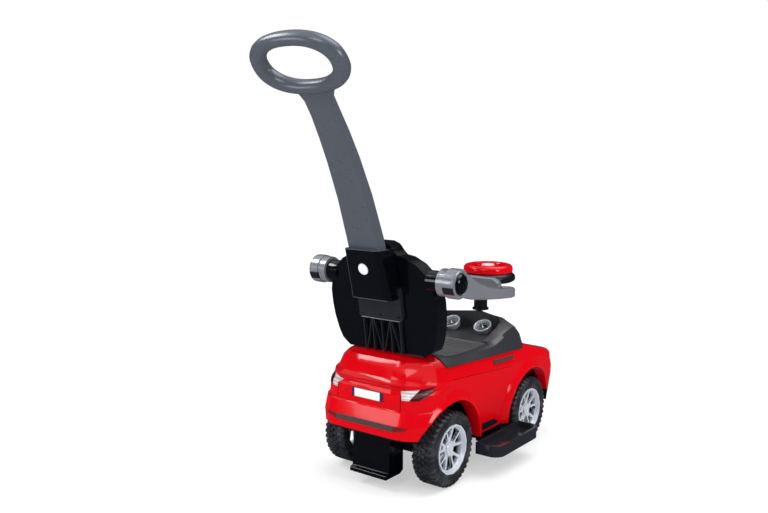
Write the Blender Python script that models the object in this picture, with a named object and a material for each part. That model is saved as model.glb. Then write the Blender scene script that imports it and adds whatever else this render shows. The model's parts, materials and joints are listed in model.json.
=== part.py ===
"""Kids push car: a ride-on car with a parent handle, guard bar, steering and a seat over a storage box.

Metres, +Z up. The car faces -Y, its left side is at +X, and the origin is on the ground at the middle of
the whole object. Distances along the car are given forward of the rear axle.
"""
import math

import bmesh
import bpy
from mathutils import Matrix, Vector
from mathutils.bvhtree import BVHTree

GAP = 0.0003
SKIN_GAP = 0.0006
SKIN_SAG = 0.0004
WALL = 0.003
REAR_AXLE_Y = 0.0649
LEFT = 1.0
RIGHT = -1.0

# wheels
WHEEL_RADIUS = 0.075
TREAD_WIDTH = 0.050
TRACK_OUTER = 0.135
WHEELBASE = 0.3124
LUG_COUNT = 15
RIM_STEPS = 15
HUB_CAP_STEPS = 12
ROUND_STEPS = 18
LUG_DEPTH = 0.0045
RIM_RADIUS = 0.0497
RIM_LIP = 0.0035
SPOKE_PAIRS = 5
SPOKE_WIDTH = 0.0052
SPOKE_SPREAD_HUB = 11.0
SPOKE_SPREAD_RIM = 17.0
RIM_PLATE = 0.006
RIM_RECESS = 0.009
HUB_RADIUS = 0.012
AXLE_RADIUS = 0.004
RUNNING_GAP = 0.0003

# body
ARCH_GAP = 0.023
ARCH_FLANGE_DEPTH = 0.022
FLARE_OUT = 0.141
FLARE_WIDTH = 0.024
SILL_HEIGHT = 0.074
REAR_BUMPER_HEIGHT = 0.112
FRONT_BUMPER_HEIGHT = 0.100
BODY_WIDTH = 0.262
BELT_SLOPE = 0.06
BELT_START = -0.005
NOSE = 0.452
TAIL = -0.109

# seat unit
SEAT_WIDTH = 0.191
SEAT_REAR = 0.0055
SEAT_FRONT = 0.188
SEAT_THICKNESS = 0.005
SEAT_RIBS = 14
SEAT_RIB_HEIGHT = 0.0016
SEAT_HINGE_RADIUS = 0.006
HINGE_PIN_RADIUS = 0.002
SKIRT_HALF = 0.124
POD_RADIUS = 0.0205
POD_DEPTH = 0.014
POD_TILT = 60.0
POD_HALF_SPACING = 0.041
POD_FORWARD = 0.258
POD_HEIGHT = 0.266

# steering
COLUMN_FORWARD = 0.318
COLUMN_ROD_RADIUS = 0.005
COLUMN_SLEEVE_RADIUS = 0.0155
COLLAR_RADIUS = 0.0188
WHEEL_COVER_RADIUS = 0.052
WHEEL_GRIP_RADIUS = 0.060
WHEEL_LEAD = 0.026
WHEEL_COVER_HEIGHT = 0.019
STEERING_WHEEL_HEIGHT = 0.371
HORN_RADIUS = 0.015
HORN_TRAVEL = 0.002
CRANK_RADIUS = 0.0185
KNUCKLE_ARM = 0.030
KINGPIN_HALF = 0.072
KINGPIN_RADIUS = 0.005
PIN_RADIUS = 0.003
SLOT_GAP = 0.0006

# backrest
BACK_TILT = 8.5
BACK_RIM_FORWARD = -0.038
BACK_RIM_HEIGHT = 0.262
BACK_FOOT_HEIGHT = 0.256
BACK_DEPTH = 0.040
BACK_PANEL = 0.003
CHANNEL_HALF = 0.0565
CHANNEL_NECK_HALF = 0.0480
PIVOT_FORWARD = -0.043
PIVOT_HEIGHT = 0.410
PIVOT_HALF = 0.135
PIVOT_STUB_RADIUS = 0.013
PIVOT_BOSS_RADIUS = 0.021
PIVOT_CAP_RADIUS = 0.0168

# push handle and its socket
HANDLE_TILT = 17.4
SHAFT_HALF = 0.0345
SHAFT_THICKNESS = 0.031
RING_FORWARD = -0.279
RING_HEIGHT = 0.798
RING_TILT = 40.0
RING_HALF_WIDTH = 0.105
RING_HALF_HEIGHT = 0.061
RING_BAND = 0.032
RING_DEPTH = 0.030
RING_STEPS = 24
SOCKET_REAR_LOW = -0.093
SOCKET_WALL = 0.0085
BUTTON_RADIUS = 0.0115

# guard bar
GUARD_BARREL_RADIUS = 0.0265
GUARD_BOSS_RADIUS = 0.0285
GUARD_OUTER = 0.1735
GUARD_SIDE_HALF = 0.155
GUARD_FRONT = 0.221
GUARD_CORNER = 0.045
GUARD_THICKNESS = 0.011
GUARD_FRONT_LOW = 0.348
GUARD_LAYER = 0.0095
GUARD_PAD_HALF = 0.109
GUARD_PAD_RISE = 0.016
GUARD_PAD_DEPTH = 0.016

# footrests
FOOTREST_HALF = 0.188
FOOTREST_TOP = 0.066
FOOTREST_LOW = 0.042
TONGUE_HALF_LENGTH = 0.030
TONGUE_MIDDLE = 0.160

# block under the tail
STOPPER_HALF = 0.045
STOPPER_LOW = 0.021
STOPPER_REAR = -0.090
STOPPER_DEPTH = 0.048

ARCH_RADIUS = WHEEL_RADIUS + ARCH_GAP
AXLE_HEIGHT = WHEEL_RADIUS
TYRE_MIDDLE = TRACK_OUTER - TREAD_WIDTH / 2
BODY_HALF = BODY_WIDTH / 2


def back_height(share):
    """A height on the backrest, as a share of the rise from its foot to the guard's pivots."""
    return BACK_FOOT_HEIGHT + share * (PIVOT_HEIGHT - BACK_FOOT_HEIGHT)


SOCKET_LOW = back_height(0.7662)
SOCKET_STEP = back_height(1.1688)
SOCKET_TOP = back_height(1.3799)
HANDLE_FOOT_HEIGHT = back_height(0.8442)
HANDLE_BEND_HEIGHT = back_height(1.4545)
BUTTON_HEIGHT = back_height(1.1299)


def place(x, forward, z):
    """A point from its sideways place, its distance forward of the rear axle and its height."""
    return Vector((x, REAR_AXLE_Y - forward, z))


def clear_scene():
    for old in list(bpy.data.objects):
        bpy.data.objects.remove(old, do_unlink=True)


def material(name, colour, roughness, metallic=0.0, coat=0.0):
    made = bpy.data.materials.get(name)
    if made:
        return made
    made = bpy.data.materials.new(name)
    made.use_nodes = True
    shader = made.node_tree.nodes["Principled BSDF"]
    shader.inputs["Base Color"].default_value = (*colour, 1.0)
    shader.inputs["Roughness"].default_value = roughness
    shader.inputs["Metallic"].default_value = metallic
    shader.inputs["Coat Weight"].default_value = coat
    return made


def red_gloss():
    return material("red_gloss", (0.70, 0.008, 0.012), 0.18, coat=0.6)


def black_gloss():
    return material("black_gloss", (0.012, 0.013, 0.016), 0.15, coat=0.4)


def black_matte():
    return material("black_matte", (0.020, 0.021, 0.024), 0.55)


def seat_grey():
    return material("seat_grey", (0.045, 0.046, 0.052), 0.5)


def guard_grey():
    return material("guard_grey", (0.25, 0.26, 0.29), 0.35)


def handle_grey():
    return material("handle_grey", (0.11, 0.125, 0.145), 0.45)


def rim_silver():
    return material("rim_silver", (0.55, 0.60, 0.68), 0.3, metallic=0.4)


def tyre_black():
    return material("tyre_black", (0.03, 0.031, 0.034), 0.7)


def steel():
    return material("steel", (0.6, 0.6, 0.62), 0.3, metallic=1.0)


def lens_clear():
    return material("lens_clear", (0.8, 0.78, 0.76), 0.1)


def strip_brown():
    return material("strip_brown", (0.12, 0.09, 0.085), 0.4)


def white_gloss():
    return material("white_gloss", (0.85, 0.86, 0.88), 0.3)


class Joint:
    """An empty on a joint's axis. Pieces and further joints hang from it."""

    def __init__(self, name, point, parent=None):
        self.point = Vector(point)
        self.empty = bpy.data.objects.new(name, None)
        self.empty.empty_display_size = 0.02
        bpy.context.scene.collection.objects.link(self.empty)
        if parent:
            self.empty.parent = parent.empty
            self.empty.location = self.point - parent.point
        else:
            self.empty.location = self.point

    def hold(self, piece):
        piece.data.transform(Matrix.Translation(-self.point))
        piece.parent = self.empty
        for modifier in piece.modifiers:
            if modifier.type == "BOOLEAN" and modifier.object.parent is None:
                self.hold(modifier.object)
        return piece


def make_object(name, bm, finish):
    """A named object from a closed bmesh, its faces turned outwards."""
    bmesh.ops.recalc_face_normals(bm, faces=bm.faces)
    mesh = bpy.data.meshes.new(name)
    bm.to_mesh(mesh)
    bm.free()
    mesh.shade_smooth()
    mesh.set_sharp_from_angle(angle=math.radians(32))
    made = bpy.data.objects.new(name, mesh)
    bpy.context.scene.collection.objects.link(made)
    if finish:
        made.data.materials.append(finish)
    return made


def helper(name, bm):
    """A cutter or an addition, which isn't a piece itself."""
    made = make_object(name, bm, None)
    made.hide_render = True
    made.display_type = "WIRE"
    return made


def combine(target, other, operation):
    change = target.modifiers.new(operation.lower(), "BOOLEAN")
    change.operation = operation
    change.solver = "EXACT"
    change.object = other
    return target


def cut(target, *others):
    for other in others:
        combine(target, other, "DIFFERENCE")
    return target


def add(target, *others):
    for other in others:
        combine(target, other, "UNION")
    return target


def strip_cap(bm, row):
    """A cap of strips between the mirrored points of a ring, for caps that aren't flat."""
    count = len(row)
    for index in range(count // 2 - 1):
        bm.faces.new((row[index], row[index + 1], row[count - 2 - index], row[count - 1 - index]))


def loft(rings, loop=False, strips=False):
    """A closed skin through rings of equal count, capped at both ends or joined into a loop."""
    bm = bmesh.new()
    rows = [[bm.verts.new(point) for point in ring] for ring in rings]
    spans = list(zip(rows, rows[1:]))
    if loop:
        spans.append((rows[-1], rows[0]))
    for low, high in spans:
        count = len(low)
        for index in range(count):
            after = (index + 1) % count
            bm.faces.new((low[index], low[after], high[after], high[index]))
    if strips:
        strip_cap(bm, rows[0])
        strip_cap(bm, rows[-1])
    elif not loop:
        bm.faces.new(rows[0])
        bm.faces.new(list(reversed(rows[-1])))
    return bm


def box(low, high):
    bm = bmesh.new()
    bmesh.ops.create_cube(bm, size=1.0)
    low, high = Vector(low), Vector(high)
    size = high - low
    bmesh.ops.scale(bm, vec=(abs(size.x), abs(size.y), abs(size.z)), verts=bm.verts)
    bmesh.ops.translate(bm, vec=(low + high) / 2, verts=bm.verts)
    return bm


def car_box(x_span, forward_span, z_span):
    """A box from its spans sideways, along the car and in height."""
    low = place(min(x_span), max(forward_span), min(z_span))
    high = place(max(x_span), min(forward_span), max(z_span))
    return box(low, high)


def rod(start, end, radius, steps=12, end_radius=None):
    """A round bar between two points."""
    start, end = Vector(start), Vector(end)
    along = end - start
    bm = bmesh.new()
    bmesh.ops.create_cone(
        bm,
        cap_ends=True,
        segments=steps,
        radius1=radius,
        radius2=radius if end_radius is None else end_radius,
        depth=along.length,
    )
    turn = along.to_track_quat("Z", "X").to_matrix().to_4x4()
    bmesh.ops.transform(bm, matrix=Matrix.Translation((start + end) / 2) @ turn, verts=bm.verts)
    return bm


def prism(points, direction):
    """A flat outline of 3-D points, extruded along a vector."""
    bm = bmesh.new()
    face = bm.faces.new([bm.verts.new(point) for point in points])
    grown = bmesh.ops.extrude_face_region(bm, geom=[face])
    moved = [item for item in grown["geom"] if isinstance(item, bmesh.types.BMVert)]
    bmesh.ops.translate(bm, vec=direction, verts=moved)
    return bm


def side_prism(outline, x_low, x_high):
    """An outline in the car's side view, as (forward, height) points, extruded sideways."""
    points = [place(x_low, forward, z) for forward, z in outline]
    return prism(points, Vector((x_high - x_low, 0.0, 0.0)))


def plan_prism(outline, z_low, z_high):
    """An outline in plan, as (x, forward) points, extruded upwards."""
    points = [place(x, forward, z_low) for x, forward in outline]
    return prism(points, Vector((0.0, 0.0, z_high - z_low)))


def turned(profile, middle, side, steps, tooth=None):
    """A closed profile of (radius, outward) points, turned about a sideways axis through middle."""
    rings = []
    for step in range(steps):
        angle = 2 * math.pi * step / steps - math.pi / 2
        ring = []
        for index, (radius, outward) in enumerate(profile):
            if tooth:
                radius += tooth(index, step)
            across = Vector((side * outward, -math.cos(angle) * radius, math.sin(angle) * radius))
            ring.append(Vector(middle) + across)
        rings.append(ring)
    return loft(rings, loop=True)


def arc(centre, radius, start, end, steps):
    """Points on an arc in a plane, with its angles in degrees."""
    points = []
    for step in range(steps + 1):
        angle = math.radians(start + (end - start) * step / steps)
        points.append((centre[0] + radius * math.cos(angle), centre[1] + radius * math.sin(angle)))
    return points


def mirrored(half):
    """A closed outline from its half at positive x, which runs from end to end of the middle line."""
    return half + [(-x, other) for x, other in reversed(half) if abs(x) > 1e-9]


def between(table, key):
    """Values read from a table of (key, values...) rows, along straight lines between its rows."""
    if key <= table[0][0]:
        return table[0][1:]
    for low, high in zip(table, table[1:]):
        if key <= high[0]:
            share = (key - low[0]) / (high[0] - low[0])
            return tuple(a + (b - a) * share for a, b in zip(low[1:], high[1:]))
    return table[-1][1:]


# body shell

BODY_LEVELS = (
    # height, half width less the body's half width, tail, nose, sloping share, rear corner's scale
    (0.074, -0.005, 0.004, -0.012, 0.0, 1.0),
    (0.112, -0.003, 0.000, -0.004, 0.0, 1.0),
    (0.138, -0.001, -0.0005, 0.000, 0.0, 1.0),
    (0.1625, 0.000, 0.007, -0.001, 0.35, 1.05),
    (0.1645, 0.000, 0.0105, -0.001, 0.38, 1.15),
    (0.1955, 0.000, 0.0105, -0.006, 1.0, 1.3),
    (0.2005, 0.000, 0.0200, -0.008, 1.0, 1.4),
    (0.2120, 0.000, 0.0185, -0.010, 1.0, 1.42),
    (0.2185, -0.004, 0.0270, -0.016, 1.0, 1.42),
    (0.2370, -0.0105, 0.0340, -0.102, 1.0, 1.35),
    (0.2500, -0.025, 0.0465, -0.128, 1.0, 1.05),
    (0.2620, -0.049, 0.0820, -0.140, 1.0, 1.05),
)
REAR_CORNER = (0.058, 0.050)
FRONT_CORNER = (0.036, 0.042)
CORNER_STEPS = 4


def belt_drop(forward, share):
    return BELT_SLOPE * max(0.0, forward - BELT_START) * share


# share of the flare's width outwards from the arch, and share of its bulge (or metres under the skin)
FLARE_PROFILE = (
    (0.0, -0.020), (0.0, 1.02), (0.2, 1.15), (0.42, 1.08), (0.72, 0.66), (1.0, -0.001), (1.0, -0.020),
)


def body_outline(half, tail, nose, corner=1.0):
    """The body's outline in plan at one level, from the tail round the left side and back."""
    rear_x, rear_y = REAR_CORNER[0] * corner, REAR_CORNER[1] * corner
    front_x, front_y = FRONT_CORNER
    points = []
    for step in range(CORNER_STEPS + 1):
        angle = math.pi / 2 * step / CORNER_STEPS
        x = half - rear_x + rear_x * math.sin(angle)
        points.append((x, tail + rear_y - rear_y * math.cos(angle)))
    for step in range(CORNER_STEPS + 1):
        angle = math.pi / 2 * step / CORNER_STEPS
        x = half - front_x + front_x * math.cos(angle)
        points.append((x, nose - front_y + front_y * math.sin(angle)))
    return mirrored(points)


def body_rings(inset, bottom=None):
    """The rings of the body's skin, moved inwards by inset; the lowest may be carried further down."""
    rings = []
    for height, half, tail, nose, share, corner in BODY_LEVELS:
        outline = body_outline(BODY_HALF + half - inset, TAIL + tail + inset, NOSE + nose - inset, corner)
        top = inset * min(1.0, max(0.0, (height - 0.205) / 0.03))
        if bottom is not None and height == BODY_LEVELS[0][0]:
            rings.append([place(x, forward, bottom) for x, forward in outline])
            continue
        rings.append([place(x, forward, height - top - belt_drop(forward, share)) for x, forward in outline])
    return rings


def skin_half(forward, height):
    """The body's half width at a place along it and a height."""
    half, tail, nose, _share, corner = between(BODY_LEVELS, height)
    half += BODY_HALF
    rear = (TAIL + tail - forward) / (REAR_CORNER[1] * corner) + 1.0
    front = (forward - NOSE - nose + FRONT_CORNER[1]) / FRONT_CORNER[1]
    if rear > 0.0:
        return half - REAR_CORNER[0] * corner * (1.0 - math.sqrt(max(0.0, 1.0 - rear * rear)))
    if front > 0.0:
        return half - FRONT_CORNER[0] * (1.0 - math.sqrt(max(0.0, 1.0 - front * front)))
    return half


def arch_flare(axle_forward, side, outer_end, last):
    """The raised lip round one wheel arch, fading out at the angle last towards the bumper."""
    rings = []
    steps = 10
    first = -14.0
    bulge = FLARE_OUT - BODY_HALF
    for step in range(steps + 1):
        angle = first + (last - first) * step / steps
        fade = math.sin(min(1.0, (last - angle) / 70.0) * math.pi / 2)
        width = FLARE_WIDTH * (0.3 + 0.7 * fade)
        turn = math.radians(angle)
        ring = []
        for share, rise in FLARE_PROFILE:
            radius = ARCH_RADIUS - 0.004 + share * width
            forward = axle_forward + outer_end * radius * -math.cos(turn)
            height = AXLE_HEIGHT + radius * math.sin(turn)
            lift = bulge * rise * fade - 0.002 if rise > 0.0 else rise
            ring.append(place(side * (skin_half(forward, height) + lift), forward, height))
        rings.append(ring)
    return loft(rings)


def arch_cylinder(axle_forward, radius, x_low, x_high):
    start = place(x_low, axle_forward, AXLE_HEIGHT)
    end = place(x_high, axle_forward, AXLE_HEIGHT)
    return rod(start, end, radius, steps=36)


def build_body():
    body = make_object("body_shell", loft(body_rings(0.0), strips=True), red_gloss())
    cavity = helper("body_cavity", loft(body_rings(WALL, bottom=0.020), strips=True))
    reach = BODY_HALF + 0.03
    flange = BODY_HALF - ARCH_FLANGE_DEPTH
    for axle, outer_end, fade_end in ((0.0, -1.0, 152.0), (WHEELBASE, 1.0, 158.0)):
        for side in (LEFT, RIGHT):
            add(body, helper("flare", arch_flare(axle, side, outer_end, fade_end)))
            keeper = arch_cylinder(axle, ARCH_RADIUS + WALL, side * flange, side * reach)
            cut(cavity, helper("arch_keeper", keeper))
    cut(body, cavity)
    for axle in (0.0, WHEELBASE):
        cut(body, helper("arch_opening", arch_cylinder(axle, ARCH_RADIUS, -reach, reach)))
    wide = (-0.2, 0.2)
    tail_foot = car_box(wide, (TAIL - 0.02, TAIL + 0.06), (0.010, REAR_BUMPER_HEIGHT))
    nose_foot = car_box(wide, (WHEELBASE + 0.08, NOSE + 0.02), (0.010, FRONT_BUMPER_HEIGHT))
    sill_foot = car_box(wide, (TAIL - 0.03, NOSE + 0.03), (0.0, SILL_HEIGHT))
    cut(body, helper("tail_foot", tail_foot), helper("nose_foot", nose_foot), helper("sill_foot", sill_foot))
    cut(body, helper("deck_opening", loft(deck_opening_rings())))
    return body


def build_bumper_lip():
    """The black lower edge of the front bumper, from one front arch round the nose to the other."""
    top = FRONT_BUMPER_HEIGHT - GAP
    rows = []
    for height in (SILL_HEIGHT, top):
        half, tail, nose, _share, _corner = between(BODY_LEVELS, height)
        outline = body_outline(BODY_HALF + half, TAIL + tail, NOSE + nose)
        rows.append([place(x, forward, height) for x, forward in outline])
    lip = make_object("front_bumper_lip", loft(rows), black_matte())
    inner = body_outline(BODY_HALF - 0.012, TAIL + 0.004, NOSE - 0.020)
    rear = WHEELBASE + 0.06
    cut(lip, helper("lip_rear", car_box((-0.2, 0.2), (TAIL - 0.05, rear), (0.02, 0.2))))
    cut(lip, helper("lip_inside", plan_prism(inner, 0.02, 0.2)))
    cut(lip, helper("lip_arch", arch_cylinder(WHEELBASE, ARCH_RADIUS, -0.2, 0.2)))
    return lip


def skin_tree():
    """A search tree over the body's plain skin, for pieces that lie on it."""
    bm = loft(body_rings(0.0), strips=True)
    bmesh.ops.recalc_face_normals(bm, faces=bm.faces)
    bmesh.ops.triangulate(bm, faces=bm.faces)
    tree = BVHTree.FromBMesh(bm)
    bm.free()
    return tree


def on_skin(tree, name, stations, heading, finish, thickness=0.0016, lift=SKIN_GAP, splits=4):
    """A thin plate on the body's skin. Stations are (across, low, high), seen along a heading in degrees."""
    turn = math.radians(heading)
    ahead = Vector((math.cos(turn), math.sin(turn), 0.0))
    across = Vector((-math.sin(turn), math.cos(turn), 0.0))

    def skin(offset, height):
        start = across * offset - ahead * 0.8 + Vector((0.0, 0.0, height))
        return tree.ray_cast(start, ahead)[0]

    def column(station):
        offset, low, high = station
        return [skin(offset, low + (high - low) * share) for share in (0.0, 1 / 3, 2 / 3, 1.0)]

    def finer(first, last, depth):
        """Stations after the first, up to the last, halved where the skin leaves the chord."""
        middle = tuple((a + b) / 2 for a, b in zip(first, last))
        sag = max(((a + b) / 2 - c).length for a, b, c in zip(column(first), column(last), column(middle)))
        if depth == 0 or sag < SKIN_SAG:
            return [last]
        return finer(first, middle, depth - 1) + finer(middle, last, depth - 1)

    rows = [stations[0]]
    for first, last in zip(stations, stations[1:]):
        rows += finer(first, last, splits)
    rings = []
    for station in rows:
        under = [point - ahead * lift for point in column(station)]
        over = [point - ahead * (lift + thickness) for point in column(station)]
        rings.append(under + list(reversed(over)))
    return make_object(name, loft(rings), finish)


LENS_CLEAR = 0.0005
LENS_SUNK = 0.0022
LENS_THICKNESS = 0.0032


def build_lens(tree, body, name, points, heading):
    """A lens in an opening through the body's wall. Points are (x, forward, low, high) along the lens."""
    turn = math.radians(heading)
    ahead = Vector((math.cos(turn), math.sin(turn), 0.0))
    across = Vector((-math.sin(turn), math.cos(turn), 0.0))
    rows = sorted((place(x, forward, 0.0).dot(across), low, high) for x, forward, low, high in points)
    lens = on_skin(tree, name, rows, heading, lens_clear(), LENS_THICKNESS, -LENS_SUNK, splits=0)
    upper = [(offset, high + LENS_CLEAR) for offset, _low, high in rows]
    lower = [(offset, low - LENS_CLEAR) for offset, low, _high in reversed(rows)]
    outline = upper + lower
    first, last = rows[0][0], rows[-1][0]
    outline = [(offset - LENS_CLEAR if offset == first else offset, z) for offset, z in outline]
    outline = [(offset + LENS_CLEAR if offset == last else offset, z) for offset, z in outline]
    depths = [place(x, forward, 0.0).dot(ahead) for x, forward, _low, _high in points]
    start = min(depths) - 0.020
    reach = max(depths) + 0.012 - start
    corners = [across * offset + ahead * start + Vector((0.0, 0.0, z)) for offset, z in outline]
    cut(body, helper(f"opening_{name}", prism(corners, ahead * reach)))
    return lens


# wheels


def build_wheel(name, axle_forward, side, joint):
    middle = place(side * TYRE_MIDDLE, axle_forward, AXLE_HEIGHT)
    half = TREAD_WIDTH / 2
    steps = LUG_COUNT * 2
    bore = (RIM_RADIUS + GAP) / math.cos(math.pi / steps)
    groove = WHEEL_RADIUS - LUG_DEPTH
    profile = (
        (bore, -half + 0.003),
        (groove - 0.006, -half),
        (groove, -half + 0.002),
        (WHEEL_RADIUS - 0.0005, -half * 0.62),
        (WHEEL_RADIUS, -half * 0.16),
        (WHEEL_RADIUS, half * 0.16),
        (WHEEL_RADIUS - 0.0005, half * 0.62),
        (groove, half - 0.002),
        (groove - 0.006, half),
        (bore, half - 0.003),
    )

    def tooth(index, step):
        even = step % 2 == 0
        if index == 3:
            return 0.0 if even else -LUG_DEPTH
        if index == 6:
            return -LUG_DEPTH if even else 0.0
        if index == 2:
            return 0.003 if even else 0.0
        if index == 7:
            return 0.0 if even else 0.003
        return 0.0

    tyre = make_object(f"tyre_{name}", turned(profile, middle, side, steps, tooth), tyre_black())
    rim = build_rim(name, middle, side)
    cap = build_hub_cap(name, middle, side)
    for piece in (tyre, rim, cap):
        joint.hold(piece)


def rim_levels():
    """The outward places of the rim's plate: its back, its front, and the rim's lip."""
    lip = TREAD_WIDTH / 2 - 0.0005
    front = lip - RIM_RECESS
    return front - RIM_PLATE, front, lip


def build_rim(name, middle, side):
    back, front, lip = rim_levels()
    inner_end = -TREAD_WIDTH / 2 + 0.005
    bore = AXLE_RADIUS + RUNNING_GAP
    barrel = RIM_RADIUS - 0.004
    profile = (
        (bore, inner_end),
        (HUB_RADIUS, inner_end),
        (HUB_RADIUS + 0.001, back),
        (barrel, back),
        (barrel, inner_end + 0.002),
        (RIM_RADIUS, inner_end + 0.002),
        (RIM_RADIUS, lip),
        (RIM_RADIUS - RIM_LIP, lip),
        (barrel - 0.002, front + 0.001),
        (bore, front - 0.001),
    )
    rim = make_object(f"rim_{name}", turned(profile, middle, side, RIM_STEPS), rim_silver())
    cut(rim, helper(f"rim_windows_{name}", rim_windows(middle, side, back, front)))
    return rim


def spoke_edge(angle, spread, radius, edge):
    """A point on one edge of a spoke, as radius and angle from the spoke pair's middle."""
    swing = math.radians(spread)
    shift = edge * SPOKE_WIDTH / 2
    return radius, angle + swing + shift / radius


def rim_windows(middle, side, back, front):
    """The openings between the spokes: a wide one between two pairs, and a slim one inside each pair."""
    inner, outer = HUB_RADIUS + 0.004, RIM_RADIUS - 0.0075
    slim_inner = HUB_RADIUS + 0.011
    low, high = back - 0.003, front + 0.004
    bm = bmesh.new()
    pitch = 2 * math.pi / SPOKE_PAIRS
    for pair in range(SPOKE_PAIRS):
        base = math.pi / 2 + pair * pitch
        wide = []
        for radius, spread in ((inner, SPOKE_SPREAD_HUB), (outer, SPOKE_SPREAD_RIM)):
            wide.append(spoke_edge(base, spread, radius, 1.0))
        for share in (0.33, 0.67):
            start = spoke_edge(base, SPOKE_SPREAD_RIM, outer, 1.0)[1]
            end = spoke_edge(base + pitch, -SPOKE_SPREAD_RIM, outer, -1.0)[1]
            wide.append((outer, start + (end - start) * share))
        for radius, spread in ((outer, SPOKE_SPREAD_RIM), (inner, SPOKE_SPREAD_HUB)):
            wide.append(spoke_edge(base + pitch, -spread, radius, -1.0))
        slim = []
        slim.append(spoke_edge(base, -SPOKE_SPREAD_HUB - 3.0, slim_inner, 1.0))
        slim.append(spoke_edge(base, -SPOKE_SPREAD_RIM, outer, 1.0))
        slim.append((outer, base))
        slim.append(spoke_edge(base, SPOKE_SPREAD_RIM, outer, -1.0))
        slim.append(spoke_edge(base, SPOKE_SPREAD_HUB + 3.0, slim_inner, -1.0))
        for outline in (wide, slim):
            rows = []
            for outward in (low, high):
                row = []
                for radius, angle in outline:
                    across = Vector((side * outward, math.cos(angle) * radius, math.sin(angle) * radius))
                    row.append(bm.verts.new(Vector(middle) + across))
                rows.append(row)
            count = len(outline)
            bm.faces.new(rows[0])
            bm.faces.new(list(reversed(rows[1])))
            for index in range(count):
                after = (index + 1) % count
                bm.faces.new((rows[0][index], rows[1][index], rows[1][after], rows[0][after]))
    return bm


def build_hub_cap(name, middle, side):
    base = rim_levels()[1] - 0.0005 + GAP
    profile = ((HUB_RADIUS, base), (HUB_RADIUS, base + 0.003), (HUB_RADIUS - 0.003, base + 0.005))
    rings = []
    steps = HUB_CAP_STEPS
    for radius, outward in profile:
        ring = []
        for step in range(steps):
            angle = 2 * math.pi * step / steps
            across = Vector((side * outward, math.cos(angle) * radius, math.sin(angle) * radius))
            ring.append(Vector(middle) + across)
        rings.append(ring)
    return make_object(f"hub_cap_{name}", loft(rings), rim_silver())


def build_rear_axle():
    reach = TYRE_MIDDLE + rim_levels()[1] - 0.002
    start = place(-reach, 0.0, AXLE_HEIGHT)
    end = place(reach, 0.0, AXLE_HEIGHT)
    return make_object("rear_axle", rod(start, end, AXLE_RADIUS), steel())


# underbody

FLOOR_LOW = 0.066
FLOOR_TOP = 0.069
TUB_HALF_REAR = 0.080
TUB_HALF_FRONT = 0.058
TUB_REAR = -0.040
TUB_STEP = 0.215
TUB_NOSE = 0.425
TUB_TOP = 0.150


def build_underbody():
    outline = mirrored(
        [(0.0, TUB_REAR), (TUB_HALF_REAR, TUB_REAR), (TUB_HALF_REAR, TUB_STEP),
         (TUB_HALF_FRONT, TUB_STEP), (TUB_HALF_FRONT, TUB_NOSE), (0.0, TUB_NOSE)]
    )
    rear_in, front_in = TUB_HALF_REAR - WALL, TUB_HALF_FRONT - WALL
    inside = mirrored(
        [(0.0, TUB_REAR + WALL), (rear_in, TUB_REAR + WALL), (rear_in, TUB_STEP - WALL),
         (front_in, TUB_STEP - WALL), (front_in, TUB_NOSE - WALL), (0.0, TUB_NOSE - WALL)]
    )
    tub = make_object("underbody", plan_prism(outline, FLOOR_LOW, TUB_TOP), black_matte())
    cut(tub, helper("tub_inside", plan_prism(inside, FLOOR_TOP, TUB_TOP + 0.02)))
    shelf_top = REAR_BUMPER_HEIGHT - GAP
    shelf = car_box(
        (-TUB_HALF_REAR, TUB_HALF_REAR), (TAIL + 0.001, TUB_REAR + 0.001), (shelf_top - WALL, shelf_top),
    )
    add(tub, helper("tail_shelf", shelf))
    sill_top = SILL_HEIGHT - GAP
    flange_gap = ARCH_RADIUS + 0.002
    for side in (LEFT, RIGHT):
        flange = car_box(
            (side * (TUB_HALF_REAR - 0.001), side * (BODY_HALF - 0.008)),
            (flange_gap, WHEELBASE - flange_gap),
            (sill_top - WALL, sill_top),
        )
        add(tub, helper("sill_flange", flange))
        boss_start = place(side * (TUB_HALF_REAR - 0.012), 0.0, AXLE_HEIGHT)
        boss_end = place(side * (TYRE_MIDDLE - TREAD_WIDTH / 2 + 0.005 - RUNNING_GAP), 0.0, AXLE_HEIGHT)
        add(tub, helper("axle_boss", rod(boss_start, boss_end, AXLE_RADIUS + 0.005)))
        add_footrest_pocket(tub, side)
        add_kingpin_lugs(tub, side)
    bore_start, bore_end = place(-0.1, 0.0, AXLE_HEIGHT), place(0.1, 0.0, AXLE_HEIGHT)
    cut(tub, helper("axle_bore", rod(bore_start, bore_end, AXLE_RADIUS + RUNNING_GAP)))
    hole_start = place(0.0, COLUMN_FORWARD, FLOOR_LOW - 0.01)
    hole_end = place(0.0, COLUMN_FORWARD, FLOOR_TOP + 0.01)
    cut(tub, helper("column_hole", rod(hole_start, hole_end, COLUMN_ROD_RADIUS + RUNNING_GAP)))
    return tub


POCKET_OUTER = 0.120
POCKET_LOW = 0.0565
TONGUE_LOW = 0.0598
TONGUE_TOP = 0.0652


def add_footrest_pocket(tub, side):
    """A sleeve under the sill flange that takes the footrest's tongue from outside."""
    start = TONGUE_MIDDLE - TONGUE_HALF_LENGTH
    end = TONGUE_MIDDLE + TONGUE_HALF_LENGTH
    sleeve = car_box(
        (side * (TUB_HALF_REAR - 0.001), side * POCKET_OUTER),
        (start - WALL, end + WALL),
        (POCKET_LOW, SILL_HEIGHT - WALL),
    )
    add(tub, helper("footrest_pocket", sleeve))
    hole = car_box(
        (side * (TUB_HALF_REAR + 0.004), side * (POCKET_OUTER + 0.01)),
        (start - GAP, end + GAP),
        (TONGUE_LOW - GAP, TONGUE_TOP + GAP),
    )
    cut(tub, helper("footrest_slot", hole))


LUG_LOW = (0.0500, 0.0557)
LUG_HIGH = (0.0943, 0.1000)


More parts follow.
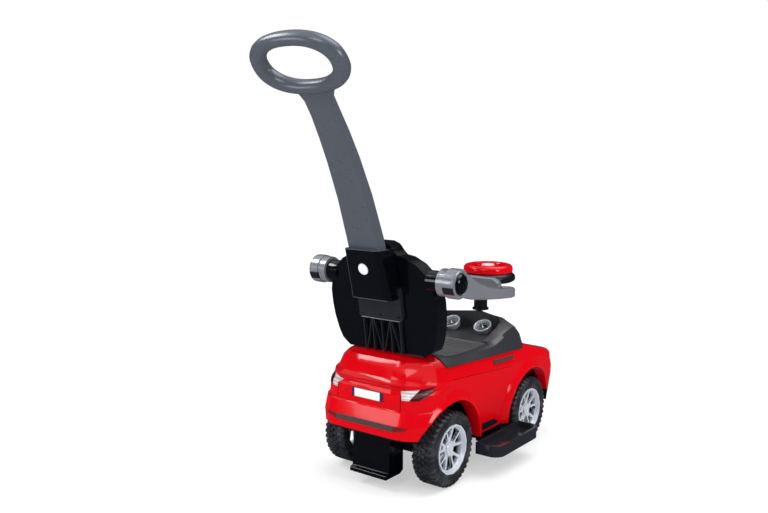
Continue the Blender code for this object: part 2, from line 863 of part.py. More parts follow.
def add_kingpin_lugs(tub, side):
    """Two ears at the front wheel that hold the kingpin, the lower one on a drop plate."""
    front = WHEELBASE
    inner = side * (TUB_HALF_FRONT - WALL)
    drop = car_box(
        (inner, side * (TUB_HALF_FRONT + 0.001)), (front - 0.010, front + 0.010),
        (LUG_LOW[0], FLOOR_TOP),
    )
    add(tub, helper("lug_plate", drop))
    for low, high in (LUG_LOW, LUG_HIGH):
        ear = car_box((inner, side * (KINGPIN_HALF + 0.008)), (front - 0.009, front + 0.009), (low, high))
        add(tub, helper("kingpin_ear", ear))
    bore_start = place(side * KINGPIN_HALF, front, LUG_LOW[0] - 0.01)
    bore_end = place(side * KINGPIN_HALF, front, LUG_HIGH[1] + 0.01)
    cut(tub, helper("kingpin_bore", rod(bore_start, bore_end, KINGPIN_RADIUS + RUNNING_GAP)))


def build_storage_box():
    low, top = FLOOR_TOP + GAP, 0.220
    rear, front, half = 0.016, 0.176, TUB_HALF_REAR - WALL - 0.001
    outer = car_box((-half, half), (rear, front), (low, top))
    made = make_object("storage_box", outer, black_matte())
    inside = car_box(
        (-half + 0.0025, half - 0.0025), (rear + 0.0025, front - 0.0025), (low + 0.0025, top + 0.02),
    )
    cut(made, helper("storage_inside", inside))
    return made


def build_stopper():
    """The block under the tail, a box with a lip along its rear foot."""
    top = REAR_BUMPER_HEIGHT - WALL - 2 * GAP
    front = STOPPER_REAR + STOPPER_DEPTH
    outline = [
        (STOPPER_REAR + 0.004, top), (front, top), (front, STOPPER_LOW + 0.006), (front - 0.010, STOPPER_LOW),
        (STOPPER_REAR - 0.009, STOPPER_LOW), (STOPPER_REAR - 0.009, STOPPER_LOW + 0.008),
        (STOPPER_REAR - 0.001, STOPPER_LOW + 0.011),
    ]
    block = make_object("anti_tip_block", side_prism(outline, -STOPPER_HALF, STOPPER_HALF), black_gloss())
    wall = 0.003
    inside = car_box(
        (-STOPPER_HALF + wall, STOPPER_HALF - wall),
        (STOPPER_REAR + 0.004 + wall, front - wall),
        (STOPPER_LOW + 0.012, top + 0.02),
    )
    cut(block, helper("block_inside", inside))
    return block


def build_footrest(side, joint):
    """A tray with a raised rim, its front edge clear of the steered wheel, and a tongue for the pocket."""
    name = "left" if side > 0 else "right"
    inner = POCKET_OUTER + GAP
    front, rear, outer = 0.261, 0.084, FOOTREST_HALF
    wheel_clear = 0.222
    outline = [(inner, rear), (inner, wheel_clear - 0.004), (inner + 0.014, wheel_clear)]
    outline += [(outer - 0.004, front), (outer, front - 0.005)]
    bend = 0.056
    outline += [(x, forward) for x, forward in arc((outer - bend, rear + bend), bend, 0.0, -90.0, 5)]
    outline = [(side * x, forward) for x, forward in outline]
    tray = make_object(f"footrest_{name}", plan_prism(outline, FOOTREST_LOW, FOOTREST_TOP), black_gloss())
    hollow = [
        (inner + 0.001, rear + 0.006), (inner + 0.001, wheel_clear - 0.010),
        (inner + 0.012, wheel_clear - 0.006),
    ]
    hollow += [(outer - 0.009, front - 0.009), (outer - 0.005, front - 0.014)]
    hollow += [(x, forward) for x, forward in arc((outer - bend, rear + bend), bend - 0.006, 0.0, -90.0, 5)]
    hollow = [(side * x, forward) for x, forward in hollow]
    cut(tray, helper("tray_hollow", plan_prism(hollow, FOOTREST_LOW + 0.010, FOOTREST_TOP + 0.01)))
    below = [(side * (abs(x) * 0.97 + 0.0037), 0.155 + (forward - 0.155) * 0.97) for x, forward in hollow]
    cut(tray, helper("tray_underside", plan_prism(below, FOOTREST_LOW - 0.01, FOOTREST_LOW + 0.0065)))
    tongue = car_box(
        (side * (TUB_HALF_REAR + 0.0055), side * (inner + 0.004)),
        (TONGUE_MIDDLE - TONGUE_HALF_LENGTH, TONGUE_MIDDLE + TONGUE_HALF_LENGTH),
        (TONGUE_LOW, TONGUE_TOP),
    )
    add(tray, helper("tray_tongue", tongue))
    return joint.hold(tray)


# steering


def build_knuckle(side, joint):
    name = "left" if side > 0 else "right"
    x = side * KINGPIN_HALF
    low, high = LUG_LOW[0], LUG_HIGH[1]
    post = rod(place(x, WHEELBASE, low), place(x, WHEELBASE, high), KINGPIN_RADIUS)
    knuckle = make_object(f"knuckle_{name}", post, steel())
    block = car_box(
        (x - 0.007, x + 0.007), (WHEELBASE - 0.008, WHEELBASE + 0.008),
        (LUG_LOW[1] + GAP, LUG_HIGH[0] - GAP),
    )
    add(knuckle, helper("knuckle_block", block))
    reach = side * (TYRE_MIDDLE + rim_levels()[1] - 0.002)
    stub = rod(place(x, WHEELBASE, AXLE_HEIGHT), place(reach, WHEELBASE, AXLE_HEIGHT), AXLE_RADIUS)
    add(knuckle, helper("knuckle_stub", stub))
    pin_forward = WHEELBASE - KNUCKLE_ARM
    arm = car_box(
        (x - 0.005, x + 0.005), (pin_forward - 0.005, WHEELBASE), (TIE_TOP + 0.0010, TIE_TOP + 0.0060),
    )
    add(knuckle, helper("knuckle_arm", arm))
    pin = rod(place(x, pin_forward, TIE_LOW - 0.001), place(x, pin_forward, TIE_TOP + 0.004), PIN_RADIUS)
    add(knuckle, helper("knuckle_pin", pin))
    return joint.hold(knuckle)


TIE_LOW = 0.0545
TIE_TOP = 0.0590


def slot(x, forward, half_length):
    """A slot along the car through the tie rod."""
    radius = PIN_RADIUS + SLOT_GAP
    outline = arc((0.0, half_length), radius, 0.0, 180.0, 6) + arc(
        (0.0, -half_length), radius, 180.0, 360.0, 6,
    )
    moved = [(x + a, forward + b) for a, b in outline]
    return helper("tie_slot", plan_prism(moved, TIE_LOW - 0.01, TIE_TOP + 0.01))


def build_tie_rod(joint):
    forward = WHEELBASE - KNUCKLE_ARM
    reach = KINGPIN_HALF + 0.006
    crank_forward = COLUMN_FORWARD - CRANK_RADIUS
    half = 0.0065
    tab = 0.010
    outline = mirrored(
        [(0.0, forward - half), (reach, forward - half), (reach, forward + half), (
            tab + 0.010, forward + half,
        ),
         (tab, forward + half + 0.006), (tab, crank_forward + 0.007), (0.0, crank_forward + 0.007)]
    )
    bar = make_object("tie_rod", plan_prism(outline, TIE_LOW, TIE_TOP), steel())
    for side in (LEFT, RIGHT):
        cut(bar, slot(side * KINGPIN_HALF, forward, 0.0008))
    cut(bar, slot(0.0, crank_forward + 0.0006, 0.0016))
    return joint.hold(bar)


SLEEVE_LOW = 0.2925
HUB_LOW = STEERING_WHEEL_HEIGHT - 0.0190
GRIP_LOW = STEERING_WHEEL_HEIGHT - 0.0230
ROD_TOP = STEERING_WHEEL_HEIGHT - 0.0090


def build_steering(joint):
    crank_top = FLOOR_LOW - 0.001
    crank_low = TIE_TOP + 0.001
    column = make_object(
        "steering_rod",
        rod(place(0.0, COLUMN_FORWARD, crank_low), place(0.0, COLUMN_FORWARD, ROD_TOP), COLUMN_ROD_RADIUS),
        steel(),
    )
    pin_forward = COLUMN_FORWARD - CRANK_RADIUS
    crank = car_box((-0.005, 0.005), (pin_forward - 0.005, COLUMN_FORWARD), (crank_low, crank_top))
    pin = rod(
        place(0.0, pin_forward, TIE_LOW - 0.001), place(0.0, pin_forward, crank_low + 0.002), PIN_RADIUS,
    )
    add(column, helper("steering_crank", crank), helper("crank_pin", pin))
    sleeve_start = place(0.0, COLUMN_FORWARD, SLEEVE_LOW)
    sleeve_end = place(0.0, COLUMN_FORWARD, HUB_LOW - GAP)
    sleeve = make_object(
        "column_sleeve", rod(sleeve_start, sleeve_end, COLUMN_SLEEVE_RADIUS, steps=16), black_matte(),
    )
    bore = rod(place(0.0, COLUMN_FORWARD, 0.2), place(0.0, COLUMN_FORWARD, 0.5), COLUMN_ROD_RADIUS + GAP)
    cut(sleeve, helper("sleeve_bore", bore))
    for piece in (column, sleeve, *build_steering_wheel()):
        joint.hold(piece)


def ring_solid(centre, outer, inner, low, high, steps, round_over):
    """A flat ring with rounded top and bottom edges, about an upright axis."""
    middle = (low + high) / 2
    rounded = ((inner, middle), (inner + round_over, low), (outer - round_over, low),
               (outer, middle), (outer - round_over, high), (inner + round_over, high))
    rings = []
    for step in range(steps):
        angle = 2 * math.pi * step / steps
        rings.append([centre + Vector((math.cos(angle) * r, math.sin(angle) * r, z)) for r, z in rounded])
    return loft(rings, loop=True)


def build_steering_wheel():
    """The black grip ring with its hub, and the red cover on top. Both sit a little ahead of the column."""
    ahead = COLUMN_FORWARD + WHEEL_LEAD
    centre = place(0.0, ahead, 0.0)
    split = STEERING_WHEEL_HEIGHT
    top = split + WHEEL_COVER_HEIGHT
    grip_ring = ring_solid(
        centre, WHEEL_GRIP_RADIUS, WHEEL_GRIP_RADIUS - 0.019, GRIP_LOW, split - GAP, ROUND_STEPS, 0.004,
    )
    grip = make_object("wheel_grip", grip_ring, black_matte())
    hub = rod(place(0.0, COLUMN_FORWARD, HUB_LOW), place(0.0, COLUMN_FORWARD, split - GAP), 0.024, steps=16)
    pad = rod(place(0.0, ahead, HUB_LOW + 0.006), place(0.0, ahead, split - GAP), 0.026, steps=16)
    add(grip, helper("grip_hub", hub), helper("grip_pad", pad))
    for angle in (90.0, 210.0, 330.0):
        reach = WHEEL_GRIP_RADIUS - 0.012
        add(
            grip,
            helper("grip_spoke", spoke_bar(centre, angle, HUB_LOW + 0.004, split - 2 * GAP, 0.010, reach)),
        )
    bore = rod(
        place(0.0, COLUMN_FORWARD, 0.2), place(0.0, COLUMN_FORWARD, ROD_TOP + GAP),
        COLUMN_ROD_RADIUS + GAP,
    )
    cut(grip, helper("grip_bore", bore))
    cover_ring = ring_solid(
        centre, WHEEL_COVER_RADIUS, WHEEL_COVER_RADIUS - 0.016, split, top, ROUND_STEPS, 0.004,
    )
    cover = make_object("steering_wheel", cover_ring, red_gloss())
    pad = rod(place(0.0, ahead, split), place(0.0, ahead, top - 0.002), 0.023, steps=16)
    add(cover, helper("cover_pad", pad))
    for angle in (90.0, 210.0, 330.0):
        reach = WHEEL_COVER_RADIUS - 0.008
        add(cover, helper("cover_spoke", spoke_bar(centre, angle, split + GAP, top - 0.005, 0.011, reach)))
    well_low = split + 0.006
    well = rod(place(0.0, ahead, well_low), place(0.0, ahead, top + 0.01), HORN_RADIUS + 0.0006, steps=16)
    cut(cover, helper("horn_well", well))
    return grip, cover


def spoke_bar(centre, angle, low, high, half, reach):
    bm = box((0.018, -half, low), (reach, half, high))
    turn = Matrix.Rotation(math.radians(angle), 4, "Z")
    bmesh.ops.transform(bm, matrix=Matrix.Translation(centre) @ turn, verts=bm.verts)
    return bm


def build_horn(joint):
    ahead = COLUMN_FORWARD + WHEEL_LEAD
    low = STEERING_WHEEL_HEIGHT + 0.006 + HORN_TRAVEL + 0.0006
    high = STEERING_WHEEL_HEIGHT + WHEEL_COVER_HEIGHT + 0.0005
    start, end = place(0.0, ahead, low), place(0.0, ahead, high)
    horn = make_object(
        "horn_button", rod(start, end, HORN_RADIUS, steps=ROUND_STEPS, end_radius=HORN_RADIUS - 0.001),
        white_gloss(),
    )
    return joint.hold(horn)


# seat unit

SEAT_LINE = (
    # forward, skirt foot, edge height, middle height, edge half width
    (-0.006, 0.2375, 0.2585, 0.2600, 0.086),
    (0.010, 0.2362, 0.2560, 0.2570, 0.092),
    (0.030, 0.2350, 0.2500, 0.2500, 0.097),
    (0.055, 0.2335, 0.2455, 0.2450, 0.101),
    (0.120, 0.2295, 0.2435, 0.2430, 0.103),
    (0.185, 0.2256, 0.2460, 0.2460, 0.104),
    (0.200, 0.2247, 0.2520, 0.2540, 0.106),
    (0.225, 0.2232, 0.2620, 0.2680, 0.108),
    (0.252, 0.2216, 0.2700, 0.2810, 0.109),
    (0.280, 0.2199, 0.2725, 0.2870, 0.108),
    (0.300, 0.2187, 0.2560, 0.2880, 0.107),
    (0.318, 0.2176, 0.2350, 0.2850, 0.104),
    (0.336, 0.2165, 0.2200, 0.2560, 0.098),
    (0.350, 0.2157, 0.2175, 0.2260, 0.088),
)


def skirt_half(forward):
    """The skirt's half width at its foot, which narrows ahead of the dashboard."""
    return SKIRT_HALF - 0.5 * max(0.0, forward - 0.29)


def seat_section(forward, foot, edge, middle, half, inset):
    """One cross-section of the seat unit, moved inwards by inset."""
    foot_half = skirt_half(forward)
    low = foot - 0.02 if inset else foot
    fall = edge - foot
    spread = foot_half - half
    half_outline = [
        (0.0, low),
        (foot_half - inset, low),
        (foot_half - 0.06 * spread - inset, foot + 0.15 * fall - 0.3 * inset),
        (half + 0.45 * spread - inset, edge - 0.22 * fall - 0.6 * inset),
        (half + 0.12 * spread - inset, edge - 0.07 * fall - inset),
        (half - 0.006 - inset, edge + 0.0005 - inset),
        (half * 0.62, edge + 0.75 * (middle - edge) - inset),
        (0.0, middle - inset),
    ]
    return [place(x, forward, z) for x, z in mirrored(half_outline)]


def seat_rings(inset):
    rings = []
    for index, (forward, foot, edge, middle, half) in enumerate(SEAT_LINE):
        if inset and index == 0:
            forward += inset
        if inset and index == len(SEAT_LINE) - 1:
            forward -= inset
        rings.append(seat_section(forward, foot, edge, middle, half, inset))
    return rings


def deck_opening_rings():
    """Sections of the opening in the body's deck: the skirt's outline below, and all above its edge."""
    rings = []
    clear = 0.0010
    top = 0.300
    sections = list(SEAT_LINE)
    sections.insert(0, (SEAT_LINE[0][0] - clear, *SEAT_LINE[0][1:]))
    sections.append((SEAT_LINE[-1][0] + clear, *SEAT_LINE[-1][1:]))
    for forward, foot, edge, _middle, half in sections:
        foot_half = skirt_half(forward)
        spread, fall = foot_half - half, edge - foot
        shoulder = edge - 0.22 * fall
        half_outline = [
            (foot_half + clear, foot - clear),
            (foot_half - 0.06 * spread + clear, foot + 0.15 * fall),
            (half + 0.45 * spread + clear, shoulder),
            (BODY_HALF + 0.014, shoulder + clear),
            (BODY_HALF + 0.014, top),
        ]
        rings.append([place(x, forward, z) for x, z in mirrored(half_outline)])
    return rings


def dash_recess(grow):
    """The sunken instrument panel, open towards the seat, with a sloping floor."""
    outline = mirrored(
        [(0.0, 0.180), (0.080 + grow, 0.180), (0.086 + grow, 0.205), (0.086 + grow, 0.240), (
            0.081 + grow, 0.266 + grow,
        ),
         (0.068 + grow, 0.283 + grow), (0.046, 0.2925 + grow), (0.0, 0.2945 + grow)]
    )
    rows = []
    rows.append([place(x, forward, panel_height(forward) - grow) for x, forward in outline])
    rows.append([place(x * 1.03, forward, 0.320) for x, forward in outline])
    return loft(rows)


def panel_height(forward):
    return 0.2448 + 0.03 * (forward - 0.188)


def build_seat_surround():
    unit = make_object("seat_surround", loft(seat_rings(0.0)), seat_grey())
    inside = helper("seat_inside", loft(seat_rings(WALL)))
    cut(inside, helper("panel_keeper", dash_recess(WALL)))
    cut(unit, helper("dash_recess", dash_recess(0.0)), inside)
    start, end = place(0.0, COLUMN_FORWARD, 0.24), place(0.0, COLUMN_FORWARD, 0.32)
    cut(unit, helper("column_opening", rod(start, end, COLUMN_ROD_RADIUS + 0.0008)))
    half = SEAT_WIDTH / 2 + 0.0007
    hinge_forward, hinge_height = seat_hinge()
    for side in (LEFT, RIGHT):
        ear = car_box(
            (side * (half - 0.001), side * (half + 0.008)),
            (hinge_forward - 0.006, hinge_forward + 0.006),
            (hinge_height - 0.005, hinge_height + 0.0045),
        )
        add(unit, helper("hinge_ear", ear))
    reach = half + 0.0065
    start, end = place(-reach, hinge_forward, hinge_height), place(reach, hinge_forward, hinge_height)
    cut(unit, helper("hinge_bore", rod(start, end, HINGE_PIN_RADIUS + GAP, steps=12)))
    well = car_box((-half, half), (SEAT_REAR - 0.0008, SEAT_FRONT + 0.0008), (0.200, 0.300))
    cut(unit, helper("seat_well", well))
    return unit


def seat_hinge():
    """Where the seat lid's hinge axis lies: distance forward and height."""
    edge = between(SEAT_LINE, SEAT_FRONT)[2]
    return SEAT_FRONT - SEAT_HINGE_RADIUS, edge - SEAT_HINGE_RADIUS - 0.0004


def build_seat_lid(joint):
    hinge_forward, hinge_height = seat_hinge()
    top = []
    first, last = SEAT_REAR + 0.006, hinge_forward - 0.006
    pitch = (last - first) / SEAT_RIBS
    top.append((SEAT_REAR, between(SEAT_LINE, SEAT_REAR)[2] - 0.0015))
    for rib in range(SEAT_RIBS):
        start = first + rib * pitch
        for share, raise_by in ((0.05, 0.0), (0.25, 1.0), (0.65, 1.0), (0.85, 0.0)):
            forward = start + share * pitch
            top.append(
                (forward, between(SEAT_LINE, forward)[2] - SEAT_RIB_HEIGHT + raise_by * SEAT_RIB_HEIGHT)
            )
    nose = arc((hinge_forward, hinge_height), SEAT_HINGE_RADIUS, 90.0, -90.0, 8)
    bottom = []
    for forward in (hinge_forward - 0.004, 0.120, 0.055, 0.030, SEAT_REAR):
        bottom.append((forward, between(SEAT_LINE, forward)[2] - SEAT_RIB_HEIGHT - SEAT_THICKNESS))
    outline = top + nose + bottom
    half = SEAT_WIDTH / 2
    lid = make_object("seat_lid", side_prism(outline, -half, half), seat_grey())
    bore = rod(
        place(-0.15, hinge_forward, hinge_height), place(0.15, hinge_forward, hinge_height),
        HINGE_PIN_RADIUS + GAP, steps=12,
    )
    cut(lid, helper("lid_bore", bore))
    return joint.hold(lid)


def build_hinge_pin():
    forward, height = seat_hinge()
    reach = SEAT_WIDTH / 2 + 0.0007 + 0.0060
    start, end = place(-reach, forward, height), place(reach, forward, height)
    return make_object("seat_hinge_pin", rod(start, end, HINGE_PIN_RADIUS, steps=12), steel())


def build_gauge_pod(side):
    name = "left" if side > 0 else "right"
    face = place(side * POD_HALF_SPACING, POD_FORWARD, POD_HEIGHT)
    tilt = math.radians(POD_TILT)
    out = Vector((0.0, math.sin(tilt), math.cos(tilt)))
    pod = make_object(
        f"gauge_pod_{name}",
        rod(face - out * POD_DEPTH, face, POD_RADIUS * 0.86, steps=20, end_radius=POD_RADIUS),
        guard_grey(),
    )
    bore_depth = 0.008
    inner = POD_RADIUS - 0.0025
    bore = rod(face - out * bore_depth, face + out * 0.01, inner - 0.001, steps=20, end_radius=inner + 0.0008)
    cut(pod, helper("pod_bore", bore))
    ground = []
    for x in (-0.12, 0.12):
        for forward in (0.15, 0.35):
            ground.append((x, forward))
    floor = [place(ground[i][0], ground[i][1], panel_height(ground[i][1]) + GAP) for i in (0, 1, 3, 2)]
    low = [point - Vector((0.0, 0.0, 0.1)) for point in floor]
    cut(pod, helper("pod_foot", loft([low, floor])))
    dial_radius = inner - 0.0016
    dial_back = face - out * (bore_depth - GAP)
    dial = rod(dial_back, dial_back + out * 0.0015, dial_radius, steps=20)
    make_object(f"gauge_dial_{name}", dial, black_gloss())


def build_collar():
    low = between(SEAT_LINE, COLUMN_FORWARD - COLLAR_RADIUS)[2] + GAP
    start, end = place(0.0, COLUMN_FORWARD, low), place(0.0, COLUMN_FORWARD, SLEEVE_LOW - GAP)
    collar = make_object("column_collar", rod(start, end, COLLAR_RADIUS, steps=20), black_matte())
    bore = rod(
        place(0.0, COLUMN_FORWARD, 0.2), place(0.0, COLUMN_FORWARD, 0.4),
        COLUMN_ROD_RADIUS + RUNNING_GAP,
    )
    cut(collar, helper("collar_bore", bore))
    return collar


# backrest

# half width and share of the rise from foot to pivots, from the foot's corner to the top's middle
BACK_SHARES = (
    (0.093, 0.0), (0.110, 0.1039), (0.118, 0.2208), (0.125, 0.4026), (0.128, 0.5779),
    (0.128, 0.7532), (0.122, 0.9221), (0.109, 1.0779), (0.090, 1.1948), (0.066, 1.2727), (0.048, 1.2922),
    (0.040, 1.3442), (0.031, 1.4221), (0.018, 1.4545),
)
BACK_OUTLINE = tuple((x, back_height(share)) for x, share in BACK_SHARES)


def deck_height(forward):
    """The red deck's height behind the seat, under the backrest."""
    tail_low, tail_high = TAIL + BODY_LEVELS[-2][2], TAIL + BODY_LEVELS[-1][2]
    low, high = BODY_LEVELS[-2][0], BODY_LEVELS[-1][0]
    share = min(1.0, max(0.0, (forward - tail_low) / (tail_high - tail_low)))
    return low + (high - low) * share


def back_forward(height):
    return BACK_RIM_FORWARD - (height - BACK_RIM_HEIGHT) * math.tan(math.radians(BACK_TILT))


def inset_outline(outline, amount):
    """The outline drawn in by an amount towards a middle point, scaled on each axis."""
    xs = [x for x, _ in outline]
    zs = [z for _, z in outline]
    middle = (min(zs) + max(zs)) / 2
    half_x, half_z = max(xs), (max(zs) - min(zs)) / 2
    return [(x * (1 - amount / half_x), middle + (z - middle) * (1 - amount / half_z)) for x, z in outline]


def kink_depth():
    """The depth in the backrest at which the deck below it turns from sloping to flat."""
    return TAIL + BODY_LEVELS[-1][2] - back_forward(BODY_LEVELS[-1][0])


def back_ring(outline, depth, foot_gap=GAP):
    ring = []
    for x, z in mirrored(list(outline)):
        forward = back_forward(max(z, BODY_LEVELS[-1][0])) + depth
        ring.append(place(x, forward, max(z, deck_height(forward) + foot_gap)))
    return ring


def socket_channel():
    """The opening in the rear panel for the socket, its flange and the ribs below."""
    line = [
        (0.0, BACK_RIM_HEIGHT + 0.0045), (CHANNEL_HALF, BACK_RIM_HEIGHT + 0.0045),
        (CHANNEL_HALF, back_height(0.9156)), (CHANNEL_NECK_HALF, back_height(0.9480)),
        (CHANNEL_NECK_HALF, SOCKET_STEP + 0.0030), (0.0, SOCKET_STEP + 0.0030),
    ]
    rings = []
    for depth in (-0.02, BACK_PANEL + 0.001):
        rings.append([place(x, back_forward(z) + depth, z) for x, z in mirrored(line)])
    return loft(rings)


def build_backrest():
    wall = 0.0035
    outer = [
        back_ring(BACK_OUTLINE, 0.0),
        back_ring(BACK_OUTLINE, kink_depth()),
        back_ring(BACK_OUTLINE, BACK_DEPTH - 0.006),
        back_ring(inset_outline(BACK_OUTLINE, 0.005), BACK_DEPTH),
        back_ring(inset_outline(BACK_OUTLINE, 0.026), BACK_DEPTH - 0.002),
    ]
    shell = make_object("backrest", loft(outer, strips=True), black_gloss())
    inner_line = inset_outline(BACK_OUTLINE, wall)
    inner = [
        back_ring(inner_line, BACK_PANEL, wall),
        back_ring(inner_line, kink_depth(), wall),
        back_ring(inner_line, BACK_DEPTH - 0.010, wall),
        back_ring(inset_outline(BACK_OUTLINE, wall + 0.006), BACK_DEPTH - 0.0065, wall),
    ]
    cut(shell, helper("back_inside", loft(inner, strips=True)))
    cut(shell, helper("back_channel", socket_channel()))
    for x in (-0.072, -0.050, -0.017, 0.017, 0.050, 0.072):
        outline = []
        low = 0.2635 if abs(x) < 0.06 else 0.272
        for height, depth in (
            (low, 0.006), (low, BACK_DEPTH - 0.0045), (back_height(0.4416), BACK_DEPTH - 0.0045),
            (back_height(0.3506), 0.010),
        ):
            outline.append((back_forward(height) + depth, height))
        add(shell, helper("back_rib", side_prism(outline, x - 0.0012, x + 0.0012)))
    for side in (LEFT, RIGHT):
        boss_in = place(side * (PIVOT_HALF - 0.0265), PIVOT_FORWARD, PIVOT_HEIGHT)
        boss_out = place(side * PIVOT_HALF, PIVOT_FORWARD, PIVOT_HEIGHT)
        stub_in = place(side * (PIVOT_HALF - 0.008), PIVOT_FORWARD, PIVOT_HEIGHT)
        stub_out = place(side * GUARD_OUTER, PIVOT_FORWARD, PIVOT_HEIGHT)
        add(shell, helper("pivot_boss", rod(boss_in, boss_out, PIVOT_BOSS_RADIUS, steps=20)))
        add(shell, helper("pivot_stub", rod(stub_in, stub_out, PIVOT_STUB_RADIUS, steps=20)))
    return shell


def build_pivot_cap(side):
    name = "left" if side > 0 else "right"
    start = place(side * (GUARD_OUTER + GAP), PIVOT_FORWARD, PIVOT_HEIGHT)
    end = place(side * (GUARD_OUTER + 0.006), PIVOT_FORWARD, PIVOT_HEIGHT)
    return make_object(
        f"pivot_cap_{name}",
        rod(start, end, PIVOT_CAP_RADIUS, steps=24, end_radius=PIVOT_CAP_RADIUS - 0.003), black_gloss(),
    )


# handle socket


def socket_rear(height):
    return SOCKET_REAR_LOW - (height - SOCKET_LOW) * math.tan(math.radians(HANDLE_TILT))


def shaft_frame():
    """The handle's straight foot: a point on its rear face's middle line, its up and forward directions."""
    tilt = math.radians(HANDLE_TILT)
    up = Vector((0.0, math.sin(tilt), math.cos(tilt)))
    ahead = Vector((0.0, -math.cos(tilt), math.sin(tilt)))
    low = place(0.0, socket_rear(HANDLE_FOOT_HEIGHT), HANDLE_FOOT_HEIGHT) + ahead * SOCKET_WALL
    return low, up, ahead


def chamfered(half, depth, chamfer):
    """A rectangle with chamfered corners as (x, depth) points, from the rear middle round the left side."""
    return mirrored(
        [
            (0.0, 0.0), (half - chamfer, 0.0), (half, chamfer), (half, depth - chamfer),
            (half - chamfer, depth), (0.0, depth),
        ]
    )


def build_socket():
    rings = []
    low, top, step = SOCKET_LOW - 0.004, SOCKET_TOP, SOCKET_STEP
    for height, depth in (
        (low, BACK_DEPTH - 0.0105), (step, BACK_DEPTH - 0.0105), (step + 0.002, -0.0008), (top, -0.0008),
    ):
        share = (height - low) / (top - low)
        flat, full = 0.0405 - 0.0065 * share, 0.0470 - 0.0050 * share
        rear, front = socket_rear(height), back_forward(height) + depth
        half_line = [(0.0, rear), (flat, rear), (full, rear + 0.010), (full, front), (0.0, front)]
        rings.append([place(x, forward, height) for x, forward in mirrored(half_line)])
    socket = make_object("handle_socket", loft(rings), black_gloss())
    low, up, ahead = shaft_frame()
    clear = 0.0004
    section = chamfered(SHAFT_HALF + clear, SHAFT_THICKNESS + 2 * clear, 0.003)
    channel = []
    for rise in (-clear, 0.20):
        start = low + up * rise - ahead * clear
        channel.append([start + Vector((x, 0.0, 0.0)) + ahead * depth for x, depth in section])
    cut(socket, helper("shaft_channel", loft(channel)))
    centre = button_centre()
    well = rod(
        centre - ahead * 0.005, centre + ahead * (SOCKET_WALL + 0.0005), BUTTON_RADIUS + 0.0004,
        steps=24,
    )
    cut(socket, helper("button_well", well))
    flange = build_socket_flange()
    add(socket, flange)
    return socket


def button_centre():
    return place(0.0, socket_rear(BUTTON_HEIGHT), BUTTON_HEIGHT)


def build_socket_flange():
    """The screwed plate round the socket's foot, in front of the ribs of the backrest."""
    outline = mirrored(
        [(x, back_height(share)) for x, share in (
            (0.0, 0.4610), (0.051, 0.4481), (0.055, 0.4805), (0.0535, 0.7532), (0.050, 0.9026), (0.0, 0.9026),
        )]
    )
    rear, front = 0.0155, 0.0195
    rings = []
    for depth in (rear, front):
        rings.append([place(x, back_forward(z) + depth, z) for x, z in outline])
    return helper("socket_flange", loft(rings))


def build_button(joint):
    ahead = shaft_frame()[2]
    centre = button_centre()
    button = rod(
        centre + ahead * 0.005, centre - ahead * 0.0015, BUTTON_RADIUS, steps=24,
        end_radius=BUTTON_RADIUS - 0.001,
    )
    return joint.hold(make_object("release_button", button, white_gloss()))


def build_handle(joint):
    low, up, ahead = shaft_frame()
    path = [(low, SHAFT_HALF)]
    straight = (HANDLE_BEND_HEIGHT - HANDLE_FOOT_HEIGHT) / math.cos(math.radians(HANDLE_TILT))
    bend = low + up * straight
    path.append((bend, SHAFT_HALF))
    reach = place(0.0, RING_FORWARD, RING_HEIGHT) - bend
    for back_share, rise_share, half in (
        (0.1809, 0.2520, 0.0325), (0.3692, 0.4643, 0.0305), (0.5152, 0.6070, 0.0290),
        (0.6582, 0.7322, 0.0275), (0.7514, 0.8067, 0.0285), (0.8073, 0.8637, 0.0400),
    ):
        path.append((bend + Vector((0.0, reach.y * back_share, reach.z * rise_share)), half))
    rings = []
    points = [point for point, _ in path]
    for index, (point, half) in enumerate(path):
        before, after = points[max(index - 1, 0)], points[min(index + 1, len(points) - 1)]
        direction = (after - before).normalized()
        if index == 0:
            direction = up
        normal = Vector((0.0, -direction.z, direction.y))
        thickness = SHAFT_THICKNESS * (1.0 - 0.06 * max(0, index - 1))
        section = chamfered(half, thickness, 0.003)
        rings.append([point + Vector((x, 0.0, 0.0)) + normal * depth for x, depth in section])
    handle = make_object("push_handle", loft(rings), handle_grey())
    add(handle, helper("handle_ring", handle_ring()))
    groove_half = BUTTON_RADIUS + 0.001
    base = low - ahead * 0.01 - up * 0.01
    length = 0.075
    groove = []
    for rise in (0.0, length):
        ring = []
        for x, depth in (
            (-groove_half, 0.0), (groove_half, 0.0), (groove_half, 0.0112), (-groove_half, 0.0112),
        ):
            ring.append(base + up * rise + Vector((x, 0.0, 0.0)) + ahead * depth)
        groove.append(ring)
    cut(handle, helper("button_groove", loft(groove)))
    return joint.hold(handle)


